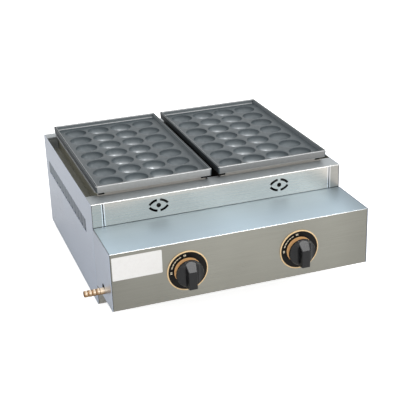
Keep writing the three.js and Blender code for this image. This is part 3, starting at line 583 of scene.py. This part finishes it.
def makeBoxWall(side):
    sign = sides[side]
    node = f"control_box_{side}_side"
    low, high = boxOf(node)
    outer, rear, turnIn = outermost(node, side), high.y - sheet["seam"], sign * boxWall["rearReturn"]
    wall = foldedSheet([(outer, low.y), (outer, rear), (outer - turnIn, rear)], "Z", low.z, high.z,
            Vector((sign, 0, 0)))
    cutter = bmesh.new()
    addBox(cutter, (outer - sign * sheet["thick"], low.y - past, high.z - boxWall["topGap"]),
            (outer - turnIn - sign * past, high.y + past, high.z + past))
    if side == "left":
        hole = middleOf("hose_barb") + Vector((0, boxWall["holeBehind"], boxWall["holeAbove"]))
        addRod(cutter, (outer, hole.y, hole.z), "X", boxWall["hole"], 2 * past, boxWall["holeSegments"])
    piece = finishPiece(f"controlBoxSide_{side}", combined(wall, cutter), sideSteel,
            [node])
    if side == "left":
        # Painted shade round the hole's edge
        paint(piece, seamShade, lambda at, normal: abs(normal.x) < 0.1
                and math.hypot(at.y - hole.y, at.z - hole.z) < boxWall["hole"] + 0.2)


# Liners that close the channels beside the plates at the bottom and at their rear ends
liner = {
    "thick": 0.8, "front": 42, "floor": 166, "rearGap": 1.5, "topGap": 0.6, "lipEdge": 211.5,
    "lipLow": 192.2, "lipHigh": 193.2,
}


def makeLiner(side):
    sign = sides[side]
    top = boxOf(f"{side}_side_panel")[1].z - sheet["thick"] - liner["topGap"]
    collarLow, collarHigh = boxOf(f"firebox_{side}")
    inside = outermost(f"{side}_side_panel", side) - sign * (sheet["thick"] + sheet["gap"])
    collar = outermost(f"firebox_{side}", side) + sign * sheet["gap"]
    rear = collarHigh.y + liner["rearGap"]
    corners = [(liner["front"], liner["floor"]), (rear, liner["floor"]), (rear, top)]
    made = foldedSheet(corners, "X", min(inside, collar), max(inside, collar), Vector((0, -1, 0)),
            liner["thick"])
    addBox(made, (collar, collarLow.y, liner["lipLow"]),
            (sign * liner["lipEdge"], collarHigh.y, liner["lipHigh"]))
    piece = finishPiece(f"channelLiner_{side}", made, linerSteel)
    # Rear riser painted paler, against the shade at the channel's end
    paint(piece, channelEndLit, lambda at, normal: normal.y < -0.5)
    # Painted highlight along the lip
    paint(piece, wornEdgeAndHighlight, lambda at, normal: at.z > liner["lipLow"] - 0.1)


bladeSteel = shadedLouvre()
for side in sides:
    makeSidePanel(side)
    makeBoxWall(side)
    makeLiner(side)
makeApron()
makeRearRail()
makeControlPanel()
print("casing made")

# Cooking plates
plate = {
    "pitch": 45, "columns": 4, "rows": 7, "cup": 20, "lip": 1.2, "floor": 4.7, "height": 12.5, "rim": 4,
    "corner": 3, "round": 1.0, "fillet": 1.3, "underRound": 0.8, "dome": 22.3, "draft": 0.8,
    "middle": 108.5, "cupSegments": 48, "cupSteps": 12, "domeSegments": 32, "domeSteps": 7,
}
# In mm; the lit film's and the highlight's depths are below the tray, and the highlight's reach is from a
# plate's middle line
coat = {
    "grit": 1.2, "litFilmDepth": (1, 8), "highlightDepth": (8.5, 15), "highlightReach": (62, 34),
    "tray": ("#3e474b", "#525c61"), "litFilm": ("#767e83", "#858d91"), "paleAndLit": "#dde1e3",
    "paleAndLitMetallic": 0.7, "paleAndLitSmoother": 0.14, "cloudsPerMetre": 14, "patchesPerMetre": 21,
    "roughness": (0.34, 0.46),
}


def castNonStick():
    # Cast aluminium, shot-blasted and coated dark grey non-stick: a slight grain and a soft sheen. In the
    # cups the coat is painted greyer and paler, as light in them, and near their bottoms a painted highlight,
    # strongest along each plate's middle columns and patchy, in a lighter, smoother metal
    material, shader, add = newMaterial("castAluminiumNonStick", "#3d4245", 0.36, 0.0, IOR=1.5)
    place = add("TexCoord").outputs["Object"]
    axes = add("SeparateXYZ", {"Vector": place}).outputs
    noises = ((1000 / coat["grit"], 3), (coat["cloudsPerMetre"], 2), (coat["patchesPerMetre"], 1))
    grit, cloud, patch = (add("TexNoise", {"Vector": place, "Scale": scale, "Detail": detail})
            for scale, detail in noises)
    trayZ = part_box("cooking_plate_left")[1].z - (plate["height"] - plate["floor"]) / 1000
    inCup, wornAndLit = (add("MapRange", {0: axes["Z"], 1: trayZ - start / 1000, 2: trayZ - end / 1000})
            for start, end in (coat["litFilmDepth"], coat["highlightDepth"]))
    fromMiddle = distanceFrom(add, axes["X"], origin.x)
    fromLine = distanceFrom(add, fromMiddle, plate["middle"] / 1000)
    none, most = coat["highlightReach"]
    nearLine = add("MapRange", {0: fromLine, 1: none / 1000, 2: most / 1000})
    patchy = add("MapRange", {0: patch, 1: 0.35, 2: 0.6, 3: 0.75})
    for factor in (nearLine, patchy):
        wornAndLit = add("Math", {0: wornAndLit, 1: factor}, operation="MULTIPLY")
    tray, litFilm = (add("Mix", {"Factor": cloud, "A": darker, "B": lighter})
            for darker, lighter in (coat["tray"], coat["litFilm"]))
    coated = add("Mix", {"Factor": inCup, "A": tray, "B": litFilm})
    colour = add("Mix", {"Factor": wornAndLit, "A": coated, "B": coat["paleAndLit"]})
    metallic = add("Math", {0: wornAndLit, 1: coat["paleAndLitMetallic"]}, operation="MULTIPLY")
    smoother = add("Math", {0: wornAndLit, 1: coat["paleAndLitSmoother"]}, operation="MULTIPLY")
    clouded = add("MapRange", {0: cloud, 3: coat["roughness"][0], 4: coat["roughness"][1]})
    rough = add("Math", {0: clouded, 1: smoother}, operation="SUBTRACT")
    bump = add("Bump", {"Height": grit, "Strength": 0.15, "Distance": 0.0003})
    feed(shader, {"Base Color": colour, "Metallic": metallic, "Roughness": rough, "Normal": bump})
    return material


def squareRing(bm, loop, half):
    ring = bmesh.ops.extrude_edge_only(bm, edges=loop)
    for vert in vertsOf(ring):
        vert.co.xy *= half / max(abs(vert.co.x), abs(vert.co.y))


def levelEdges(edges, level):
    return [edge for edge in edges if all(abs(vert.co.z - level) < 0.01 for vert in edge.verts)]


def drawIn(bm, loop, profile):
    # Pulls a circle down and in along a profile of (radius, height), and closes it at the last point
    for radius, height in profile:
        ring = bmesh.ops.extrude_edge_only(bm, edges=loop)
        for vert in vertsOf(ring):
            vert.co.xy = vert.co.xy.normalized() * radius
            vert.co.z = height
        loop = levelEdges(edgesOf(ring), height)
    bmesh.ops.edgeloop_fill(bm, edges=loop)


def cupCell(level, mouth, profile, segments):
    bm = bmesh.new()
    circle = bmesh.ops.create_circle(bm, cap_ends=False, segments=segments, radius=mouth,
            matrix=Matrix.Translation((0, 0, level)))
    loop = list({edge for vert in circle["verts"] for edge in vert.link_edges})
    squareRing(bm, loop, plate["pitch"] / 2)
    drawIn(bm, loop, profile)
    return bm


def arcDown(radius, centreZ, fromZ, steps):
    # Points down a bowl of that radius, from the height fromZ to its bottom
    start = math.acos((centreZ - fromZ) / radius)
    angles = [start * (1 - step / steps) for step in range(steps)]
    return [(radius * math.sin(angle), centreZ - radius * math.cos(angle)) for angle in angles]


def wallEdges(bm, level):
    return [edge for edge in levelEdges(bm.edges, level)
            if any(abs(face.normal.z) < 0.5 for face in edge.link_faces)]


def rimmedBody(half):
    # A block with its top inset and sunk to the tray's floor, its edges rounded and its two flats left open
    bm = bmesh.new()
    floor, height = plate["floor"], plate["height"]
    addBox(bm, -half, half + Vector((0, 0, height)))
    for vert in bm.verts:
        if vert.co.z < 0.01:
            vert.co.xy -= Vector([math.copysign(plate["draft"], part) for part in vert.co.xy])
    top = max(bm.faces, key=lambda face: face.calc_center_median().z)
    bmesh.ops.inset_region(bm, faces=[top], thickness=plate["rim"], use_even_offset=True)
    tray = bmesh.ops.extrude_discrete_faces(bm, faces=[top])["faces"][0]
    bmesh.ops.translate(bm, vec=(0, 0, floor - height), verts=tray.verts)
    upright = [edge for edge in bm.edges if abs(edge.verts[0].co.z - edge.verts[1].co.z) > 1]
    roundEdges(bm, upright, plate["corner"], 4)
    bm.normal_update()
    roundEdges(bm, wallEdges(bm, height), plate["round"], 3)
    roundEdges(bm, wallEdges(bm, floor), plate["fillet"], 2)
    roundEdges(bm, levelEdges(bm.edges, 0), plate["underRound"], 2)
    bm.normal_update()
    flats = [face for face in bm.faces if face.calc_area() > half.x * half.y]
    bmesh.ops.delete(bm, geom=flats, context="FACES_ONLY")
    return bm


def makePlate(side):
    low, high = boxOf(f"cooking_plate_{side}")
    floor, lip, cup, height = (plate[key] for key in ("floor", "lip", "cup", "height"))
    roundedLip = [(cup + lip * (1 - math.sin(angle)), floor - lip * (1 - math.cos(angle)))
            for angle in (math.radians(30), math.radians(60))]
    bowl = arcDown(cup, floor, floor - lip, plate["cupSteps"])
    dome = arcDown(plate["dome"], floor, 0, plate["domeSteps"])
    bm = rimmedBody(Vector(((high.x - low.x) / 2, (high.y - low.y) / 2, 0)))
    for cell in (cupCell(floor, cup + lip, roundedLip + bowl, plate["cupSegments"]),
            cupCell(0, dome[0][0], dome[1:], plate["domeSegments"])):
        mesh = meshOf(cell, "cell")
        for column in range(plate["columns"]):
            for row in range(plate["rows"]):
                x = (column - (plate["columns"] - 1) / 2) * plate["pitch"]
                y = (row - (plate["rows"] - 1) / 2) * plate["pitch"]
                mesh.transform(Matrix.Translation((x, y, 0)))
                bm.from_mesh(mesh)
                mesh.transform(Matrix.Translation((-x, -y, 0)))
    bmesh.ops.remove_doubles(bm, verts=bm.verts, dist=0.01)
    for level in (floor, 0):
        openEdges = [edge for edge in levelEdges(bm.edges, level) if len(edge.link_faces) == 1]
        bmesh.ops.triangle_fill(bm, edges=openEdges, use_beauty=True, use_dissolve=False, normal=(0, 0, 1))
    outwards(bm)
    bmesh.ops.translate(bm, vec=((low.x + high.x) / 2, (low.y + high.y) / 2, high.z - height), verts=bm.verts)
    piece = finishPiece(f"castPlate_{side}", bm, castPlate, [f"cooking_plate_{side}"],
            f"plate_{side}", sharpAngle=28)
    paintPlate(piece, side, low, high)


def paintPlate(piece, side, low, high):
    top, bottom, rim, edge = high.z, high.z - plate["height"], plate["rim"], plate["round"]
    foot = bottom + plate["floor"]

    def within(at, axis):
        return low[axis] + 2 < at[axis] < high[axis] - 2

    # Front and back faces in the edge coat, darker on the right plate as painted shade
    paint(piece, plateEdge[side], lambda at, normal: bottom < at.z and (
        abs(normal.y) > 0.9 and not within(at, 1) or at.y < low.y + rim and at.z > top - 0.1))
    # Painted shade on the side walls and the side rims' tops
    paint(piece, plateSideShade, lambda at, normal: bottom + plate["underRound"] < at.z and (
        abs(normal.x) > 0.9 and not within(at, 0)
        or normal.z > 0.97 and at.z > top - 0.1 and at.y > low.y + rim))
    # Bare pale rim edges, with painted highlights on the bottom bevels and at the back rim's foot
    paint(piece, wornEdgeAndHighlight, lambda at, normal: 0.15 < abs(normal.z) < 0.97 and (
        at.z > top - edge and (at.y < low.y + rim or within(at, 0) and at.y < high.y - 2)
        or bottom < at.z < bottom + plate["underRound"]
        or abs(at.z - foot) < plate["fillet"] and at.y > high.y - rim - 1.2))
    # Painted light on the inner walls of the back and right rims
    paint(piece, rimWallLit, lambda at, normal: at.z > foot + 0.3 and (
        at.z < top - edge and min(normal.x, normal.y) < -0.95
        and (at.y > high.y - rim - 1 or at.x > high.x - rim - 1)
        or at.z > top - edge and 0.15 < normal.z < 0.97 and normal.x < -0.1
        and high.x - rim - 1 < at.x < high.x - 2 and at.y > low.y + rim))


castPlate = castNonStick()
# Front and rear edges, where the coat is thin and warm grey; the right plate's copy painted darker, as shade
plateEdge = {
    "left": speckled("castAluminiumThinCoat", "#a1a19e", "#b4b3b2", 0.45, 0.4, 5, 0.1),
    "right": speckled("castAluminiumShadedCoat", "#868685", "#989897", 0.48, 0.4, 5, 0.1),
}
# Side walls and the side rims' tops, painted darker than the coat, as shade
plateSideShade = speckled("castAluminiumSideShade", "#2c3134", "#3a4044", 0.6, 0.0, 4, 0.15)
# Inner walls of the rims at the back and on the right, painted paler than the tray, as light on them
rimWallLit = speckled("castAluminiumLitCoat", "#646b6f", "#737a7d", 0.45, 0.0, 5, 0.1)
for side in sides:
    makePlate(side)
print("plates made")

panelFace = boxOf("control_panel")[0].y
# Dials, laid out from the shaft: x across, y out of the panel (negative), z up
dial = {
    "radius": 35, "rim": 2, "rimRound": (0.3, 0.6, 0.7), "inner": 23, "face": 1.5, "rimFace": 2.0,
    "sunk": 0.3, "hole": 6.4, "arcRadius": 28, "arcWidth": 1.3, "arcFrom": 112, "arcTo": 167,
    "arcSwell": 0.12, "dash": 0.78, "marks": (96, 101, 177, 182), "markHalf": (0.9, 0.03), "ticks": 5,
    "raised": 0.08,
}
# Screen-printed plates: flat inks under a clear gloss coat
dialBlack = speckled("dialInkBlack", "#100e0d", "#191614", 0.4, 0.0, 1.2, 0.02, Specular_IOR_Level=0.2)
dialPeach = speckled("dialInkPeach", "#fcd59c", "#ffe0ae", 0.35, 0.0, 1.2, 0.02, Coat_Weight=0.4)
dialOrange = speckled("dialInkOrange", "#ffc080", "#ffcc90", 0.35, 0.0, 1.2, 0.02, Coat_Weight=0.4)
dialCream = speckled("dialInkCream", "#e9dcc0", "#f4e9d0", 0.4, 0.0, 1.2, 0.02)


def makeDial(side):
    at = middleOf(f"dial_{side}")
    at.y = panelFace
    radius, face, rimFace, hole, inner, raised, sunk = (
        dial[key] for key in ("radius", "face", "rimFace", "hole", "inner", "raised", "sunk"))
    edge = radius - dial["rim"]
    faceProfile = [(hole, sunk), (hole, face), (edge, face), (edge, sunk), (hole, sunk)]
    finishPiece(f"dialFace_{side}", turned(faceProfile, 96, at), dialBlack, [f"dial_{side}"])
    inRound, outRound, outDrop = dial["rimRound"]
    rimProfile = [(edge, sunk), (edge, rimFace - inRound), (edge + inRound, rimFace),
            (radius - outRound, rimFace), (radius, rimFace - outDrop), (radius, sunk), (edge, sunk)]
    finishPiece(f"dialRim_{side}", turned(rimProfile, 96, at), dialPeach)
    discProfile = [(hole, face), (hole, face + raised), (inner, face + raised), (inner, face), (hole, face)]
    finishPiece(f"dialDisc_{side}", turned(discProfile, 72, at), dialOrange)
    marks = bmesh.new()
    front, back = -face - raised, -face + 0.05
    low, high = (dial["arcRadius"] + way * dial["arcWidth"] / 2 for way in (-1, 1))
    start, end = math.radians(dial["arcFrom"]), math.radians(dial["arcTo"])
    # The arc thickens towards the full flame, in steps
    for step in range(dial["ticks"]):
        fromAngle = start + (end - start) * step / dial["ticks"]
        toAngle = start + (end - start) * (step + dial["dash"]) / dial["ticks"]
        swell = dial["arcSwell"] * step / 2
        ringSector(marks, low - swell, high + swell, front, back, fromAngle, toAngle, (0, 0, 0), 6)
    tall, wide = dial["markHalf"]
    for angle in dial["marks"]:
        middle = math.radians(angle)
        ringSector(marks, low - tall, high + tall, front, back, middle - wide, middle + wide, (0, 0, 0), 2)
    outwards(marks)
    bmesh.ops.translate(marks, vec=at, verts=marks.verts)
    finishPiece(f"dialMarks_{side}", marks, dialCream)


# Knobs, laid out as the dials are
knob = {
    "standoff": 11, "reach": 30, "radius": 23.5, "chamfer": 0.6, "skirt": 14.3, "skirtChamfer": 0.5,
    "crown": 20, "crownRadius": 20.5, "crownInset": 0.4, "scoop": 14, "scoopFrom": 8.5, "scoopDepth": 4,
    "gripWidth": 20.6, "gripFace": 14, "gripLow": 21.6, "gripInset": 0.3, "gripFoot": 2,
    "slopeStart": 8.5, "slopeDrop": 15, "trimGap": 0.05, "edge": 1.2, "flatFrom": 12,
}
# Compression-moulded phenolic: black with a low satin sheen
knobPlastic = speckled("mouldedPhenolic", "#0c0d0f", "#141518", 0.2, 0.0, 0.8, 0.03, IOR=1.5)


def makeGrip(slopeAt, slope):
    # A bar that narrows towards its face, cut along the slope and rounded
    halfBack, halfFace = knob["gripWidth"] / 2, knob["gripFace"] / 2
    grip = bmesh.new()
    for vert in addBox(grip, (-halfBack, -knob["reach"], -knob["gripLow"]),
            (halfBack, -knob["standoff"] - knob["gripFoot"], knob["radius"] - knob["gripInset"])):
        if vert.co.y < -knob["crown"]:
            vert.co.x *= halfFace / halfBack
    cut = bmesh.ops.bisect_plane(grip, geom=grip.verts[:] + grip.edges[:] + grip.faces[:], plane_co=slopeAt,
            plane_no=(0, -slope.z, slope.y), clear_outer=True)
    bmesh.ops.edgeloop_fill(grip, edges=edgesOf(cut, "geom_cut"))
    roundEdges(grip, grip.edges[:], knob["edge"], 4, clamp_overlap=True)
    outwards(grip)
    return grip


def makeKnob(side):
    at = middleOf(f"knob_{side}")
    at.y = panelFace
    radius, standoff, skirt, crown, crownRadius, chamfer = (
        knob[key] for key in ("radius", "standoff", "skirt", "crown", "crownRadius", "chamfer"))
    profile = [(0, standoff), (radius - chamfer, standoff), (radius, standoff + chamfer), (radius, skirt),
            (radius - knob["skirtChamfer"], skirt + knob["skirtChamfer"]),
            (crownRadius + chamfer, crown - chamfer), (crownRadius - knob["crownInset"], crown), (0, crown)]
    scoops = bmesh.new()
    for way in (-1, 1):
        middle = (way * (knob["scoopFrom"] + knob["scoop"]), knob["scoopDepth"] - crown - knob["scoop"], 0)
        addRod(scoops, middle, "Z", knob["scoop"], radius * 3, 64)
    body = combined(turned(profile, 72), scoops)
    slopeAt = Vector((0, -knob["reach"], knob["slopeStart"]))
    slopeEnd = Vector((0, -knob["reach"] + knob["slopeDrop"], radius))
    slope = slopeEnd - slopeAt
    body = combined(body, makeGrip(slopeAt, slope), "UNION")
    # The crown is trimmed along the grip's slope
    trimmer = bmesh.new()
    lean = math.atan2(slope.y, slope.z)
    lift = Vector((0, -math.cos(lean), math.sin(lean))) * (radius + knob["trimGap"])
    bmesh.ops.create_cube(trimmer, size=2 * radius, matrix=Matrix.Translation((slopeAt + slopeEnd) / 2 + lift)
            @ Matrix.Rotation(-lean, 4, "X"))
    body = combined(body, trimmer)
    bmesh.ops.translate(body, vec=at, verts=body.verts)
    piece = finishPiece(f"phenolicKnob_{side}", body, knobPlastic, [f"knob_{side}"],
            f"knob_{side}")
    for polygon in piece.data.polygons:
        polygon.use_smooth = polygon.area < knob["flatFrom"] / 1e6


for side in sides:
    makeDial(side)
    makeKnob(side)
print("controls made")

# Gas inlet; a rib is drawn as shares of the pitch and mm below the crest
barb = {
    "radius": 5.9, "neck": 5.35, "shank": 5.7, "bore": 4.1, "boreDepth": 24, "chamfer": 0.4, "ribs": 4,
    "rib": ((0.70, 0.1), (0.74, 0), (0.80, 0.15), (0.86, 0.55)), "plain": 7, "wornAndLit": 0.2,
    "litAbove": 3, "groove": "#9a7550", "under": "#96703f", "crest": "#f3e0c8",
}


def turnedBarb():
    # Turned brass: tarnished brown in the grooves, where the hose doesn't rub; on the crests, painted shade
    # underneath and a painted highlight on top
    material, shader, add = newMaterial("turnedBrassBarb", "#c9a577", 0.16, 1.0)
    place = add("TexCoord").outputs["Object"]
    low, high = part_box("hose_barb")
    centred = add("VectorMath", {0: place, 1: (low + high) / 2}, operation="SUBTRACT")
    flat = add("VectorMath", {0: centred, 1: (0, 1, 1)}, operation="MULTIPLY")
    radius = add("VectorMath", {0: flat}, operation="LENGTH")
    rubbed = add("MapRange", {0: radius, 1: barb["neck"] / 1000, 2: (barb["radius"] - barb["wornAndLit"]) / 1000})
    height = add("SeparateXYZ", {"Vector": flat}).outputs["Z"]
    above = add("MapRange", {0: height, 1: -barb["litAbove"] / 1000, 2: barb["litAbove"] / 1000})
    crest = add("Mix", {"Factor": above, "A": barb["under"], "B": barb["crest"]})
    feed(shader, {"Base Color": add("Mix", {"Factor": rubbed, "A": barb["groove"], "B": crest})})
    return material


def makeBarb():
    low, high = boxOf("hose_barb")
    at = (low + high) / 2
    tip, bottom = low.x, low.x + barb["boreDepth"]
    shoulder = boxOf("left_side_panel")[0].x - barb["plain"]
    pitch = (shoulder - tip) / barb["ribs"]
    bore, neck, shank, chamfer = barb["bore"], barb["neck"], barb["shank"], barb["chamfer"]
    outline = [(0, bottom), (bore, bottom), (bore, tip + chamfer), (bore + chamfer, tip),
            (neck - chamfer, tip)]
    for rib in range(barb["ribs"]):
        start = tip + rib * pitch
        outline += [(neck, start + chamfer)]
        outline += [(barb["radius"] - below, start + pitch * share) for share, below in barb["rib"]]
    outline += [(shank, shoulder + chamfer), (shank, high.x), (0, high.x)]
    made = turned([(r, -x) for r, x in outline], 48, (0, at.y, at.z), axis="X")
    piece = finishPiece("hoseBarb", made, turnedBarb(), ["hose_barb"])
    # Painted shade in the bore
    paint(piece, seamShade, lambda place, normal: place.x < bottom + 0.1
            and math.hypot(place.y - at.y, place.z - at.z) < bore + 0.05)


# Feet, moulded in rubber with a waist half-way up
foot = {
    "sole": 10.2, "soleEdge": 11, "soleChamfer": 0.8, "waist": 12.9, "radius": 13, "topChamfer": 0.6,
}
rubber = speckled("mouldedRubber", "#1c1c1c", "#2c2c2c", 0.85, 0.0, 1.5, 0.2)


def makeFoot(place):
    node = f"foot_{place}"
    low, high = boxOf(node)
    at = middleOf(node)
    profile = [(0, low.z), (foot["sole"], low.z), (foot["soleEdge"], low.z + foot["soleChamfer"]),
            (foot["waist"], at.z), (foot["radius"], high.z - foot["topChamfer"]),
            (foot["radius"] - foot["topChamfer"], high.z), (0, high.z)]
    finishPiece(f"rubberFoot_{place}", turned(profile, 48, (at.x, at.y, 0), axis="Z"), rubber,
            [node])


# Blank label
label = {
    "left": -223.8, "right": -140.8, "low": 94.8, "high": 135.2, "thick": 0.15, "back": 0.02,
    "corner": 1.5,
}
# Matt white vinyl, stuck on
labelVinyl = speckled("whiteVinylLabel", "#f1efec", "#fbfaf8", 0.45, 0.0, 5, 0.03)


def makeLabel():
    bm = bmesh.new()
    addBox(bm, (label["left"], panelFace - label["thick"], label["low"]),
            (label["right"], panelFace - label["back"], label["high"]))
    corners = [edge for edge in bm.edges if abs(edge.verts[0].co.y - edge.verts[1].co.y) > 0.1]
    roundEdges(bm, corners, label["corner"], 4)
    outwards(bm)
    finishPiece("blankLabel", bm, labelVinyl)


makeBarb()
for end in ("front", "rear"):
    for side in sides:
        makeFoot(f"{end}_{side}")
makeLabel()
print("inlet, feet and label made")

# Finishes of the solids that stay. The collars' zones are in mm: from their front, up the casing, inwards
# from their outer walls, and from the middle between them
collarHeat = {
    "frontLit": (4, 1), "low": (162, 144), "inside": (0.3, 0.6), "between": (16, 12),
    "browned": ("#9d9b8a", "#b2b09f"), "paleAndLit": ("#b8b3ab", "#c9c4bd"), "shadeTone": ("#282624", "#3a3733"),
}


def heatTinted():
    # Mild steel collar round the flames: browned above, with painted shade low down inside and between the
    # plates, and painted paler and greyer on the front wall, as light under the plates' overhang
    material, shader, add = newMaterial("heatTintedSteel", "#8b8572", 0.45, 0.5)
    place = add("TexCoord").outputs["Object"]
    axes = add("SeparateXYZ", {"Vector": place}).outputs
    cloud = add("TexNoise", {"Vector": place, "Scale": 60.0, "Detail": 4.0})
    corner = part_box("firebox_left")[0]
    fromMiddle = distanceFrom(add, axes["X"], origin.x)
    inwards = add("Math", {0: origin.x - corner.x, 1: fromMiddle}, operation="SUBTRACT")
    frontLit, low, inside, between = (add("MapRange", {0: value, 1: zero + start / 1000, 2: zero + end / 1000})
        for value, zero, (start, end) in (
            (axes["Y"], corner.y, collarHeat["frontLit"]), (axes["Z"], origin.z, collarHeat["low"]),
            (inwards, 0, collarHeat["inside"]), (fromMiddle, 0, collarHeat["between"])))
    lowInside = add("Math", {0: low, 1: inside}, operation="MULTIPLY")
    shaded = add("Math", {0: lowInside, 1: between}, operation="MAXIMUM")
    browned, paleAndLit, shadeTone = (add("Mix", {"Factor": cloud, "A": collarHeat[tint][0], "B": collarHeat[tint][1]})
            for tint in ("browned", "paleAndLit", "shadeTone"))
    clean = add("Mix", {"Factor": frontLit, "A": browned, "B": paleAndLit})
    colour = add("Mix", {"Factor": shaded, "A": clean, "B": shadeTone})
    bump = add("Bump", {"Height": cloud, "Strength": 0.06, "Distance": 0.0003})
    feed(shader, {"Base Color": colour, "Normal": bump})
    return material


finishOf = {
    **dict.fromkeys(("base_pan", "control_box_bottom", "gas_rail", "rail_clamp"), innerSteel),
    **dict.fromkeys(("valve_stem", "air_shutter", "burner_rest"), innerSteel),
    **dict.fromkeys(("gas_valve", "valve_plug", "injector"), brass),
    "front_bulkhead": panelSteel,
    "back_panel": sideSteel,
    # Turned brass, painted dark brown, as the shade seen through the hole in the box's side
    "inlet_nut": speckled("brassPaintedShade", "#1d1812", "#2c251b", 0.7, 0.5, 3, 0.1),
    "firebox": heatTinted(),
    "burner": burnerSteel,
}
for node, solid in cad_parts.items():
    plain = node.removesuffix("_left").removesuffix("_right")
    if plain in finishOf:
        solid.data.materials.clear()
        solid.data.materials.append(finishOf[plain])
print("solids finished")

# Floor and light; places and sizes in metres, powers in watts
studio = {
    "floorColour": "#f4f4f4",
    "floorHalf": 12, "floorSeen": 0.85, "floorMirrored": 0.05, "world": 0.7,
}
# Place, aim, size and power of each
softboxes = {
    "keySoftbox": ((2.0, -1.0, 1.0), (0, -0.2, 0.1), (1.4, 1.0), 10),
    "fillSoftbox": ((-0.9, -2.2, 1.1), (0, -0.2, 0.1), (1.4, 1.0), 4),
    "topSoftbox": ((0.6, -1.13, 2.0), (0.6, 0, 0.1), (1.2, 0.42), 9),
}


def makeFloor():
    bm = bmesh.new()
    bmesh.ops.create_grid(bm, x_segments=1, y_segments=1, size=studio["floorHalf"])
    floor = addObject("floor", meshOf(bm, "floor"))
    material, shader, add = newMaterial("paintedFloor", studio["floorColour"], 0.9)
    rays = add("LightPath").outputs
    mirrored = add("Math", {0: rays["Is Glossy Ray"], 1: studio["floorMirrored"]}, operation="MULTIPLY")
    lift = add("Math", {0: rays["Is Camera Ray"], 1: studio["floorSeen"], 2: mirrored},
            operation="MULTIPLY_ADD")
    feed(shader, {"Emission Color": "#ffffff", "Emission Strength": lift})
    floor.data.materials.append(material)


def makeWorld():
    world = bpy.data.worlds.new("studio")
    bpy.context.scene.world = world
    world.use_nodes = True
    add = partial(addNode, world.node_tree)
    rays = add("LightPath").outputs
    seen = rays["Is Camera Ray"]
    for ray in ("Is Glossy Ray", "Is Transmission Ray"):
        seen = add("Math", {0: seen, 1: rays[ray]}, operation="ADD", use_clamp=True)
    strength = add("MapRange", {0: seen, 3: studio["world"], 4: 1.0})
    feed(world.node_tree.nodes["Background"], {"Color": "#ffffff", "Strength": strength})


def addSoftbox(name, place, aim, size, power):
    data = bpy.data.lights.new(name, "AREA")
    data.shape = "RECTANGLE"
    data.size, data.size_y = size
    data.energy = power
    holder = addObject(name, data)
    holder.location = place
    holder.rotation_euler = (Vector(aim) - Vector(place)).to_track_quat("-Z", "Y").to_euler()


makeFloor()
makeWorld()
for name, values in softboxes.items():
    addSoftbox(name, *values)
bpy.context.scene.view_settings.view_transform = "Standard"
print("floor and light made")
